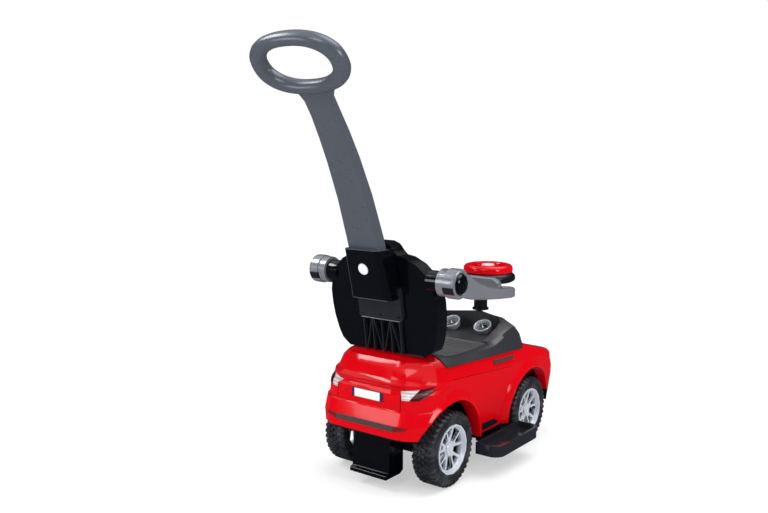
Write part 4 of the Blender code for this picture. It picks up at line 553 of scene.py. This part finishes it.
def block(low, high, rounding=0.0, segments=2):
    """A box between two corners, with rounded edges."""
    low, high = Vector(low), Vector(high)
    bm = bmesh.new()
    bmesh.ops.create_cube(bm, size=1.0)
    bmesh.ops.scale(bm, vec=high - low, verts=bm.verts)
    bmesh.ops.translate(bm, vec=(low + high) / 2, verts=bm.verts)
    if rounding:
        rounded(bm, bm.edges[:], rounding, segments)
    return bm


EDGE_FROM = 0.005


def edges_along(bm, axis, wanted):
    """The edges of a block along one axis whose first end passes a test."""
    return [
        edge for edge in bm.edges
        if abs((edge.verts[0].co - edge.verts[1].co)[axis]) > EDGE_FROM and wanted(edge.verts[0].co)
    ]


def furthest(bm, axis):
    """The face that lies furthest along an axis."""
    return max(bm.faces, key=lambda face: face.calc_center_median()[axis])


# wheels


TYRE_STEPS = 76
SHOULDER = 0.0225
LUG_HEIGHT = 0.0040
LUG_GAP = 0.0005
LUG_FOOT = 0.0625
LUG_BULGE = 0.0006
TREAD_ROOT = WHEEL_RADIUS - LUG_HEIGHT
TYRE_PROFILE = (
    (0.0500, 0.0210), (0.0520, 0.0243), (0.0545, 0.0243), (0.0560, 0.0234), (0.0600, 0.0240),
    (0.0630, 0.0245), (0.0680, 0.0238), (TREAD_ROOT, 0.0205), (TREAD_ROOT, 0.0095), (TREAD_ROOT, 0.0080),
    (TREAD_ROOT, 0.0008), (TREAD_ROOT, -0.0008), (TREAD_ROOT, -0.0080), (TREAD_ROOT, -0.0095),
    (TREAD_ROOT, -0.0205), (0.0680, -0.0238), (0.0630, -0.0245), (0.0560, -0.0240), (0.0500, -0.0210),
)
EVEN_ROWS = (5, 6, 7, 11, 13, 14, 15)
ODD_ROWS = (9,)
HUB_PROFILE = (
    (0.0118, 0.0158), (0.0118, 0.0170), (0.0108, 0.0178), (0.0064, 0.0180), (0.0056, 0.0174), (0.0, 0.0173),
)


def tyre_with_lugs(centre, out):
    """A tyre with raised lugs: even columns have shoulder lugs and one tread row, odd ones the other row."""
    bm = spun(TYRE_PROFILE, ORIGIN, UP, TYRE_STEPS)
    middles = [((a[0] + b[0]) / 2, (a[1] + b[1]) / 2) for a, b in zip(TYRE_PROFILE, TYRE_PROFILE[1:])]
    lugs = []
    for face in bm.faces:
        spot = face.calc_center_median()
        misses = [abs(height - spot.z) + abs(radius - spot.xy.length) for radius, height in middles]
        row = misses.index(min(misses))
        column = round(math.atan2(spot.y, spot.x) / (2 * math.pi) * TYRE_STEPS - 0.5)
        if row in (EVEN_ROWS if column % 2 == 0 else ODD_ROWS):
            lugs.append(face)
    bmesh.ops.inset_region(bm, faces=lugs, thickness=LUG_GAP, depth=0.0, use_even_offset=True)
    for vert in {vert for face in lugs for vert in face.verts}:
        outward = Vector((vert.co.x, vert.co.y, 0.0)).normalized()
        share = min(1.0, max(0.0, (vert.co.xy.length - LUG_FOOT) / (TREAD_ROOT - LUG_FOOT)))
        bulge = LUG_BULGE if abs(vert.co.z) > SHOULDER else 0.0
        vert.co += outward * (LUG_HEIGHT * share) + UP * math.copysign(bulge, vert.co.z)
    return carried(bm, frame_at(centre, out))


def dress_wheels():
    for side_name, side in SIDES:
        out = (side, 0.0, 0.0)
        for end, forward in (("rear", 0.0), ("front", WHEELBASE)):
            where = f"{end}_{side_name}"
            body = f"wheel_{where}"
            centre = place(side * TYRE_MIDDLE, forward, WHEEL_RADIUS)
            tyre = tyre_with_lugs(centre, out)
            finished(f"lugged_tyre_{where}", tyre, body, "tyre", 30.0, (f"tyre_{where}",), 0.0004, 1)
            cap = spun(HUB_PROFILE, centre, out, 40, closed=False)
            finished(f"hub_cap_{where}_dome", cap, body, "rim", 30.0, (f"hub_cap_{where}",))


# steering wheel


SPOKE_ANGLES = (90.0, 210.0, 330.0)
# each profile: radius, height above the wheel's split plane
COVER_RIM = (
    (0.0370, 0.0060), (0.0380, 0.0010), (0.0405, 0.0), (0.0535, 0.0), (0.0560, 0.0020), (0.0570, 0.0070),
    (0.0560, 0.0135), (0.0525, 0.0175), (0.0470, 0.0190), (0.0410, 0.0180), (0.0380, 0.0140),
)
COVER_PAD = (
    (0.0157, 0.0), (0.0235, 0.0), (0.0238, 0.0110), (0.0225, 0.0150), (0.0190, 0.0168), (0.0157, 0.0165),
)
GRIP_RIM = (
    (0.0445, -0.0110), (0.0460, -0.0180), (0.0495, -0.0208), (0.0560, -0.0205), (0.0615, -0.0170),
    (0.0632, -0.0115), (0.0615, -0.0055), (0.0560, -0.0006), (0.0495, -0.0006), (0.0455, -0.0040),
)
GRIP_HUB = ((0.0053, -0.0190), (0.0215, -0.0190), (0.0240, -0.0165), (0.0240, -0.0006), (0.0053, -0.0006))
GRIP_PLATE = ((0.0, -0.0130), (0.0245, -0.0130), (0.0258, -0.0115), (0.0258, -0.0006), (0.0, -0.0006))
COVER_SPOKE = {
    "low": 0.001, "high": 0.0135, "half": 0.0105, "near": 0.020, "reach": 0.041, "rounding": 0.003,
}
GRIP_SPOKE = {
    "low": -0.0150, "high": -0.0012, "half": 0.0098, "near": 0.018, "reach": 0.047, "rounding": 0.0025,
}
HORN_PAD = (
    (0.0, 0.0086), (0.0140, 0.0086), (0.0150, 0.0096), (0.0150, 0.0165), (0.0138, 0.0186), (0.0090, 0.0195),
    (0.0, 0.0195),
)


def spokes(centre, low, high, half, near, reach, rounding):
    made = []
    for angle in SPOKE_ANGLES:
        bar = block((near, -half, low), (reach, half, high), rounding)
        made.append(carried(bar, Matrix.Translation(centre) @ turned(angle)))
    return made


def dress_steering_wheel():
    """The red cover has a rounded rim, a dished pad and three spokes. The black grip rim lies under it."""
    centre = place(0.0, STEERING_FORWARD, STEERING_HEIGHT)
    rim = spun(COVER_RIM, centre, UP, 96)
    pad = spun(COVER_PAD, centre, UP, 72)
    bars = spokes(centre, **COVER_SPOKE)
    finished("steering_wheel_cover", merged(rim, pad, *bars), "steering", "red", 40.0, ("steering_wheel",))
    grip = spun(GRIP_RIM, centre, UP, 96)
    hub = spun(GRIP_HUB, place(0.0, COLUMN_FORWARD, STEERING_HEIGHT), UP, 48)
    plate = spun(GRIP_PLATE, centre, UP, 64, closed=False)
    arms = spokes(centre, **GRIP_SPOKE)
    under = merged(grip, hub, plate, *arms)
    finished("steering_grip_rim", under, "steering", "black_satin", 40.0, ("wheel_grip",))
    horn = spun(HORN_PAD, centre, UP, 56, closed=False)
    finished("horn_pad", horn, "horn", "white", 30.0, ("horn_button",))


# dashboard dials


POD_TILT = math.radians(60.0)
POD_HALF_SPACING = 0.041
POD_FORWARD = 0.258
POD_HEIGHT = 0.266
POD_RADIUS = 0.0205
POD_DEPTH = 0.014
POD_BORE = POD_RADIUS - 0.0062
DIAL_BACK = -0.0085
DIAL_FACE = -0.0066
CUP_PROFILE = (
    (POD_RADIUS * 0.86, -POD_DEPTH), (POD_RADIUS * 0.985, -0.0030), (POD_RADIUS, -0.0012),
    (POD_RADIUS - 0.0008, 0.0), (POD_RADIUS - 0.0030, 0.0), (POD_RADIUS - 0.0040, -0.0008),
    (POD_RADIUS - 0.0058, -0.0062), (POD_BORE, -POD_DEPTH),
)
DIAL_PROFILE = ((0.0, DIAL_BACK), (POD_BORE, DIAL_BACK), (POD_BORE + 0.0002, DIAL_FACE), (0.0, DIAL_FACE))
PIN_PROFILE = ((0.0, DIAL_FACE), (0.0018, DIAL_FACE), (0.0016, -0.0050), (0.0, -0.0050))
MARKS = 11
FIRST_MARK = -120.0
MARK_STEP = 24.0
LONG_MARK_EVERY = 5
LONG_MARK = 0.0085
SHORT_MARK = 0.0098
MARK_END = 0.0124
MARK_HALF = 0.00035
MARK_LOW = DIAL_FACE - 0.0001
MARK_HIGH = DIAL_FACE + 0.0004
NEEDLE_ANGLE = math.degrees(0.7)
NEEDLE_HALF = 0.0005
NEEDLE_TAIL = -0.002
NEEDLE_TIP = 0.0095
NEEDLE_HIGH = DIAL_FACE + 0.0010


def dress_gauges():
    """Two cups with pale rims, each with a dark dial, a ring of marks and a needle."""
    out = Vector((0.0, math.cos(POD_TILT), math.sin(POD_TILT)))
    for side_name, side in SIDES:
        middle = place(side * POD_HALF_SPACING, POD_FORWARD, POD_HEIGHT)
        on_dial = frame_at(middle, out)
        cup = spun(CUP_PROFILE, middle, out, 72)
        finished(f"gauge_cup_{side_name}", cup, "car", "pod", 28.0, (f"gauge_pod_{side_name}",))
        dial = spun(DIAL_PROFILE, middle, out, 48, closed=False)
        finished(f"gauge_glass_{side_name}", dial, "car", "dial", 28.0, (f"gauge_dial_{side_name}",))
        marks = []
        for step in range(MARKS):
            start = SHORT_MARK if step % LONG_MARK_EVERY else LONG_MARK
            mark = block((-MARK_HALF, start, MARK_LOW), (MARK_HALF, MARK_END, MARK_HIGH))
            marks.append(carried(mark, on_dial @ turned(FIRST_MARK + MARK_STEP * step)))
        needle = block((-NEEDLE_HALF, NEEDLE_TAIL, DIAL_FACE), (NEEDLE_HALF, NEEDLE_TIP, NEEDLE_HIGH))
        carried(needle, on_dial @ turned(NEEDLE_ANGLE))
        pin = spun(PIN_PROFILE, middle, out, 20, closed=False)
        finished(f"gauge_marks_{side_name}", merged(*marks, needle, pin), "car", "white", 30.0)


# guard bar


CAP_PROFILE = (
    (0.0, 0.0004), (0.0192, 0.0004), (0.0198, 0.0016), (0.0192, 0.0032), (0.0170, 0.0058), (0.0130, 0.0080),
    (0.0070, 0.0094), (0.0, 0.0098),
)
BOSS_PROFILE = (
    (0.0206, -0.0030), (0.0206, 0.0012), (0.0216, 0.0022), (0.0240, 0.0022), (0.0252, 0.0010),
    (0.0262, -0.0002), (0.0280, -0.0006), (0.0284, -0.0030),
)


def dress_pivots():
    """Domed caps, and a stepped ring round each on the guard's boss."""
    for side_name, side in SIDES:
        start = place(side * GUARD_OUTER, PIVOT_FORWARD, PIVOT_HEIGHT)
        out = (side, 0.0, 0.0)
        cap = spun(CAP_PROFILE, start, out, 64, closed=False)
        finished(f"pivot_dome_{side_name}", cap, "car", "black_gloss", 40.0, (f"pivot_cap_{side_name}",))
        ring = spun(BOSS_PROFILE, start, out, 64)
        finished(f"guard_boss_ring_{side_name}", ring, f"guard_{side_name}", "guard", 30.0)


# footrests


TRAY_INNER = 0.1335
TRAY_CORNER = 0.024
TRAY_RIM = 0.0060
TRAY_WALL = 0.0035
TRAY_DEPTH = 0.0135
RIM_SEAMS = 7
FIRST_SEAM_SHARE = 0.14
SEAM_STEP_SHARE = 0.12
SEAM_HALF = 0.0006
SEAM_BITE = 0.001
SEAM_INSET = 0.002
TONGUE_INNER = 0.100
TONGUE_OUTER = 0.136
TONGUE_INSET = 0.056
TONGUE_LOW = 0.004
TONGUE_HIGH = 0.014


def dress_footrests():
    """Trays with rounded outer corners, a raised rim with seam lines and a shallow floor."""
    for side_name, side in SIDES:
        node = f"footrest_{side_name}"
        low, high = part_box(node)
        outer = max(abs(low.x), abs(high.x))
        tray = block((TRAY_INNER, low.y, low.z), (outer, high.y, high.z))
        rounded(tray, edges_along(tray, 2, lambda end: end.x > TRAY_INNER + TRAY_CORNER), TRAY_CORNER, 8)
        top = furthest(tray, 2)
        bmesh.ops.inset_region(tray, faces=[top], thickness=TRAY_RIM, depth=0.0)
        bmesh.ops.inset_region(tray, faces=[top], thickness=TRAY_WALL, depth=0.0)
        bmesh.ops.translate(tray, vec=UP * -TRAY_DEPTH, verts=top.verts)
        for step in range(RIM_SEAMS):
            y = low.y + (high.y - low.y) * (FIRST_SEAM_SHARE + SEAM_STEP_SHARE * step)
            seam_low = (outer - SEAM_BITE, y - SEAM_HALF, low.z + SEAM_INSET)
            merged(tray, block(seam_low, (outer, y + SEAM_HALF, high.z - SEAM_INSET)))
        tongue_low = (TONGUE_INNER, low.y + TONGUE_INSET, low.z + TONGUE_LOW)
        merged(tray, block(tongue_low, (TONGUE_OUTER, high.y - TONGUE_INSET, low.z + TONGUE_HIGH)))
        if side < 0:
            bmesh.ops.scale(tray, vec=(-1.0, 1.0, 1.0), verts=tray.verts)
            bmesh.ops.reverse_faces(tray, faces=tray.faces)
        finished(f"footrest_tray_{side_name}", tray, BODY_OF[node], "tray", 35.0, (node,), 0.0012)


# base of the handle socket


BACK_FOOT_FORWARD = -0.038
BACK_FOOT_HEIGHT = 0.262
BACK_OUT = Vector((0.0, math.cos(BACK_TILT), -math.sin(BACK_TILT)))
SUNK = 0.0010
PANEL_HALF = 0.0562
PANEL_FOOT = 0.2665
PANEL_HEIGHT = 0.131
PANEL_SUNK = 0.0030
PANEL_PROUD = 0.0001
BASE_HALF = 0.0520
BASE_FOOT = 0.3265
BASE_HEIGHT = 0.068
BASE_PROUD = 0.0095
BASE_CORNER = 0.007
BASE_LIP = 0.0016
BASE_DISH = 0.0009
RIB_PLACES = (-0.044, -0.022, 0.0, 0.022, 0.044)
RIB_HALF = 0.0011
RIB_FOOT = 0.2590
RIB_HEIGHT = 0.0700
RIB_PROUD = 0.0088
RIB_EDGE = 0.0003
# each brace: its sideways place, its lean in degrees
BRACES = ((-0.033, 16.0), (-0.011, -16.0), (0.011, 16.0), (0.033, -16.0))
BRACE_HALF = 0.0010
BRACE_HEIGHT = 0.0720
BRACE_PROUD = 0.0080
SCREW_PLACES = (-0.0440, 0.0, 0.0440)
SCREW_HEIGHT = 0.3345
SCREW_PROUD = 0.0087
SCREW_PROFILE = (
    (0.0, -0.0010), (0.0027, -0.0010), (0.0027, 0.0006), (0.0021, 0.0012), (0.0010, 0.0012), (0.0008, 0.0004),
    (0.0, 0.0004),
)


def back_forward(height):
    """How far forward of the rear axle the back panel is at a height."""
    return BACK_FOOT_FORWARD - (height - BACK_FOOT_HEIGHT) * math.tan(BACK_TILT)


def on_back(bm, height):
    """Moves a piece made along the back panel (X across, Y rearwards, Z up the panel) to a height on it."""
    foot = Matrix.Translation(place(0.0, back_forward(height), height))
    return carried(bm, foot @ Matrix.Rotation(-BACK_TILT, 4, "X"))


def dress_socket_base():
    """The raised and screwed base under the handle socket, with gusset ribs down to the deck."""
    panel = block((-PANEL_HALF, -PANEL_SUNK, 0.0), (PANEL_HALF, PANEL_PROUD, PANEL_HEIGHT), 0.0004, 1)
    finished("socket_base_panel", on_back(panel, PANEL_FOOT), "car", "black_gloss", 30.0)
    plate = block((-BASE_HALF, -SUNK, 0.0), (BASE_HALF, BASE_PROUD, BASE_HEIGHT))
    rounded(plate, edges_along(plate, 1, lambda end: end.z < BASE_CORNER), BASE_CORNER, 5)
    face = furthest(plate, 1)
    bmesh.ops.inset_region(plate, faces=[face], thickness=BASE_LIP, depth=0.0)
    bmesh.ops.translate(plate, vec=(0.0, -BASE_DISH, 0.0), verts=face.verts)
    finished("socket_base", on_back(plate, BASE_FOOT), "car", "tray", 30.0, soften=0.0009)
    ribs = []
    for x in RIB_PLACES:
        ribs.append(block((x - RIB_HALF, -SUNK, 0.0), (x + RIB_HALF, RIB_PROUD, RIB_HEIGHT), RIB_EDGE, 1))
    for x, lean in BRACES:
        bar = block((-BRACE_HALF, -SUNK, 0.0), (BRACE_HALF, BRACE_PROUD, BRACE_HEIGHT), RIB_EDGE, 1)
        turn = Matrix.Rotation(math.radians(lean), 3, "Y")
        bmesh.ops.rotate(bar, cent=UP * (RIB_HEIGHT / 2), matrix=turn, verts=bar.verts)
        bmesh.ops.translate(bar, vec=(x, 0.0, -SUNK), verts=bar.verts)
        ribs.append(bar)
    # painted highlight: the ribs take the lighter tray black to stand in for the light on their edges
    finished("socket_gussets", on_back(merged(*ribs), RIB_FOOT), "car", "tray", 30.0)
    heads = []
    for x in SCREW_PLACES:
        point = place(x, back_forward(SCREW_HEIGHT) - SCREW_PROUD, SCREW_HEIGHT)
        heads.append(spun(SCREW_PROFILE, point, BACK_OUT, 24, closed=False))
    finished("socket_base_screws", merged(*heads), "car", "black_satin", 30.0)


# push handle and its button


RING_FORWARD = -0.279
RING_HEIGHT = 0.798
RING_TILT = math.radians(40.0)
RING_HALF_WIDTH = 0.105
RING_HALF_HEIGHT = 0.061
RING_BAND = 0.032
RING_THINNING = 0.22
RING_DEPTH = 0.030
RING_POWER = 2.0 / 2.3
RING_FILL = 0.488
RING_STEPS = 64
RING_SIDES = 16
PLAIN_BAND = 0.3
NECK_BITE = 0.0012
NECK_REACH = 0.013


def ring_grip(centre, up, ahead):
    """A rounded band on an oval, from a plain turned ring whose band is laid along the oval."""
    turns = [2 * math.pi * (side + 0.5) / RING_SIDES for side in range(RING_SIDES)]
    profile = [(1.0 + PLAIN_BAND * math.cos(turn), PLAIN_BAND * math.sin(turn)) for turn in turns]
    ring = spun(profile, ORIGIN, UP, RING_STEPS)
    for vert in ring.verts:
        radius = math.hypot(vert.co.x, vert.co.y)
        cosine, sine = vert.co.x / radius, vert.co.y / radius
        band = RING_BAND * (1.0 - RING_THINNING * sine ** 2)
        outward = Vector((cosine / RING_HALF_WIDTH, 0.0, 0.0)) + up * (sine / RING_HALF_HEIGHT)
        outward.normalize()
        across = math.copysign(abs(cosine) ** RING_POWER, cosine) * (RING_HALF_WIDTH - band / 2)
        rise = math.copysign(abs(sine) ** RING_POWER, sine) * (RING_HALF_HEIGHT - band / 2)
        bulge = (radius - 1.0) / PLAIN_BAND * band * RING_FILL
        depth = vert.co.z / PLAIN_BAND * RING_DEPTH * RING_FILL
        vert.co = centre + Vector((across, 0.0, 0.0)) + up * rise + outward * bulge + ahead * depth
    bmesh.ops.recalc_face_normals(ring, faces=ring.faces)
    return ring


def dress_push_handle():
    """The moulded shaft, whose neck is carried on into a smooth oval ring grip."""
    up = Vector((0.0, math.sin(RING_TILT), math.cos(RING_TILT)))
    ahead = Vector((0.0, -math.cos(RING_TILT), math.sin(RING_TILT)))
    centre = place(0.0, RING_FORWARD, RING_HEIGHT)
    neck = centre - up * (RING_HALF_HEIGHT - NECK_BITE)
    bm = joined_copy("push_handle")
    whole = bm.verts[:] + bm.edges[:] + bm.faces[:]
    bmesh.ops.bisect_plane(bm, geom=whole, dist=0.000001, plane_co=neck, plane_no=up, clear_outer=True)
    cap = bmesh.ops.holes_fill(bm, edges=[edge for edge in bm.edges if edge.is_boundary], sides=0)["faces"]
    stub = bmesh.ops.extrude_face_region(bm, geom=cap)["geom"]
    stub_verts = [item for item in stub if isinstance(item, bmesh.types.BMVert)]
    bmesh.ops.translate(bm, vec=up * NECK_REACH, verts=stub_verts)
    bmesh.ops.delete(bm, geom=[face for face in cap if face.is_valid], context="FACES_ONLY")
    merged(bm, ring_grip(centre, up, ahead))
    finished("push_handle_moulding", bm, BODY_OF["push_handle"], "handle", 40.0, ("push_handle",), 0.0012)


BUTTON_PROFILE = (
    (0.0, -0.0032), (0.0113, -0.0032), (0.0114, 0.0018), (0.0106, 0.0030), (0.0080, 0.0037), (0.0, 0.0040),
)


def dress_release_button():
    """The round button in the socket, with a domed face."""
    low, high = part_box("release_button")
    out = Vector((0.0, math.cos(HANDLE_TILT), -math.sin(HANDLE_TILT)))
    button = spun(BUTTON_PROFILE, (low + high) / 2, out, 48, closed=False)
    finished("release_button_dome", button, BODY_OF["release_button"], "white", 30.0, ("release_button",))


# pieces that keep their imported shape


SMOOTH_UP_TO = {"body_shell": 14.0, "backrest": 30.0}
# node: its finish and the width of its softened edges
PLAIN_PIECES = {
    "body_shell": ("red", 0.0012), "front_bumper_lip": ("black_satin", 0.0010),
    "grille": ("grille", 0.0004), "number_plate": ("plate", 0.0003),
    "rear_reflector": ("reflector", 0.0003), "underbody": ("black_satin", 0.0006),
    "storage_box": ("black_satin", 0.0008), "anti_tip_block": ("black_gloss", 0.0012),
    "rear_axle": ("steel", 0.0004), "seat_surround": ("seat", 0.0012),
    "seat_hinge_pin": ("steel", 0.0003), "column_collar": ("black_satin", 0.0006),
    "backrest": ("black_gloss", 0.0014), "handle_socket": ("socket", 0.0010),
    "steering_rod": ("steel", 0.0004), "column_sleeve": ("black_satin", 0.0010),
    "tie_rod": ("steel", 0.0004), "seat_lid": ("ribbed_seat", 0.0006),
}
for side_name, _ in SIDES:
    PLAIN_PIECES.update({
        f"tail_light_{side_name}": ("tail_light", 0.0003), f"head_light_{side_name}": ("head_light", 0.0003),
        f"side_vent_{side_name}": ("strip", 0.0003), f"sill_trim_{side_name}": ("black_satin", 0.0003),
        f"knuckle_{side_name}": ("steel", 0.0004), f"guard_arm_{side_name}": ("guard", 0.0010),
        f"rim_front_{side_name}": ("rim", 0.0007), f"rim_rear_{side_name}": ("rim", 0.0007),
    })


def dress_plain_pieces():
    for node, (finish, soften) in PLAIN_PIECES.items():
        smooth = SMOOTH_UP_TO.get(node, 35.0)
        finished(f"{node}_moulding", joined_copy(node), BODY_OF[node], finish, smooth, (node,), soften)


# camera, light and floor


CAMERA_PLACE = (-0.9923, 1.3981, 0.6606)
CAMERA_TURN = (math.radians(82.54), 0.0, math.radians(217.63))
CAMERA_LENS = 39.6
SUN_TURN = (math.radians(16.0), math.radians(-14.0), 0.0)
SUN_WIDTH = math.radians(50.0)
SUN_STRENGTH = 1.6
# lamp: its place, what it is aimed at, its width and its power
LAMPS = {
    "left_lamp": ((1.4, 2.3, 0.9), (0.0, 0.0, 0.3), 0.9, 9.0),
    "rear_lamp": ((-0.2, 2.6, 2.3), (0.0, 0.1, 0.2), 1.1, 14.0),
    "ledge_lamp": ((1.5, 0.83, 2.0), (0.0, 0.38, 0.2), 0.8, 18.0),
    "right_lamp": ((-2.6, 0.3, 1.2), (0.0, 0.0, 0.25), 0.9, 17.0),
}
WHITE = (1.0, 1.0, 1.0)
# each light of the room: its colour and strength
EVEN_LIGHT = {"Color": (0.96, 0.97, 1.0), "Strength": 0.62}
CEILING_LIGHT = {"Color": WHITE, "Strength": 0.75}
WALL_LIGHT = {"Color": (0.80, 0.88, 1.0), "Strength": 0.035}
BACKDROP_LIGHT = {"Color": WHITE, "Strength": 1.0}
CEILING_FROM = 0.59
CEILING_SOFT = 0.07
FLOOR_LIFT = 0.42
FLOOR_GLOW = {"Color": WHITE, "Strength": 1.12}
MIRRORED_FLOOR = (0.055, 0.060, 0.070)


def add_camera():
    data = bpy.data.cameras.new("photo_camera")
    data.lens = CAMERA_LENS
    data.sensor_width = 36.0
    data.clip_start = 0.01
    data.clip_end = 50.0
    camera = added("photo_camera", data)
    camera.location = CAMERA_PLACE
    camera.rotation_euler = CAMERA_TURN
    bpy.context.scene.camera = camera


def add_lamps():
    """A wide sun overhead and four round lamps about the car."""
    sun = bpy.data.lights.new("overhead_lamp", "SUN")
    sun.energy = SUN_STRENGTH
    sun.angle = SUN_WIDTH
    added("overhead_lamp", sun).rotation_euler = SUN_TURN
    for name, (spot, aim, width, power) in LAMPS.items():
        disk = bpy.data.lights.new(name, "AREA")
        disk.shape = "DISK"
        disk.size = width
        disk.energy = power
        lamp = added(name, disk)
        lamp.location = spot
        lamp.rotation_euler = (Vector(aim) - Vector(spot)).to_track_quat("-Z", "Y").to_euler()


def add_room():
    """A pale room: even light from all sides, a bright ceiling and dim walls in reflections, white behind."""
    world = bpy.data.worlds.new("pale_room")
    world.use_nodes = True
    bpy.context.scene.world = world
    room = Nodes(world.node_tree)
    even, ceiling, walls, backdrop = (
        room.node("ShaderNodeBackground", None, light).outputs[0]
        for light in (EVEN_LIGHT, CEILING_LIGHT, WALL_LIGHT, BACKDROP_LIGHT)
    )
    direction = room.node("ShaderNodeTexCoord").outputs["Generated"]
    height = room.value("ShaderNodeSeparateXYZ", None, {0: direction}, "Z")
    ray = room.node("ShaderNodeLightPath").outputs
    mirrored = room.blend(height.above(CEILING_FROM, CEILING_SOFT), walls, ceiling)
    lit = room.blend(ray["Is Glossy Ray"], even, mirrored)
    direct = Value(room, ray["Is Camera Ray"]).larger(ray["Is Transmission Ray"])
    room.feed(room.tree.nodes["World Output"].inputs["Surface"], room.blend(direct, lit, backdrop))


def add_floor():
    """White paper that keeps a soft shadow, and is dim where the car's gloss mirrors it."""
    bm = bmesh.new()
    bmesh.ops.create_grid(bm, x_segments=1, y_segments=1, size=30.0)
    floor = added("floor", mesh_of("floor", bm))
    floor.location.z = -0.0005
    paper = Finish("white_paper", (0.93, 0.93, 0.93), 0.9, shine=0.2)
    lit = paper.shader.outputs[0]
    glow = paper.node("ShaderNodeEmission", None, FLOOR_GLOW).outputs[0]
    dim = paper.node("ShaderNodeBsdfDiffuse", None, {"Color": MIRRORED_FLOOR}).outputs[0]
    ray = paper.node("ShaderNodeLightPath").outputs
    seen = paper.blend(ray["Is Camera Ray"], lit, paper.blend(FLOOR_LIFT, lit, glow))
    surface = paper.blend(ray["Is Glossy Ray"], seen, dim)
    paper.feed(paper.tree.nodes["Material Output"].inputs["Surface"], surface)
    floor.data.materials.append(paper.material)


bpy.context.scene.view_settings.view_transform = "Standard"
add_camera()
add_room()
add_lamps()
add_floor()
dress_wheels()
dress_steering_wheel()
dress_gauges()
dress_pivots()
dress_footrests()
dress_socket_base()
dress_push_handle()
dress_release_button()
dress_plain_pieces()
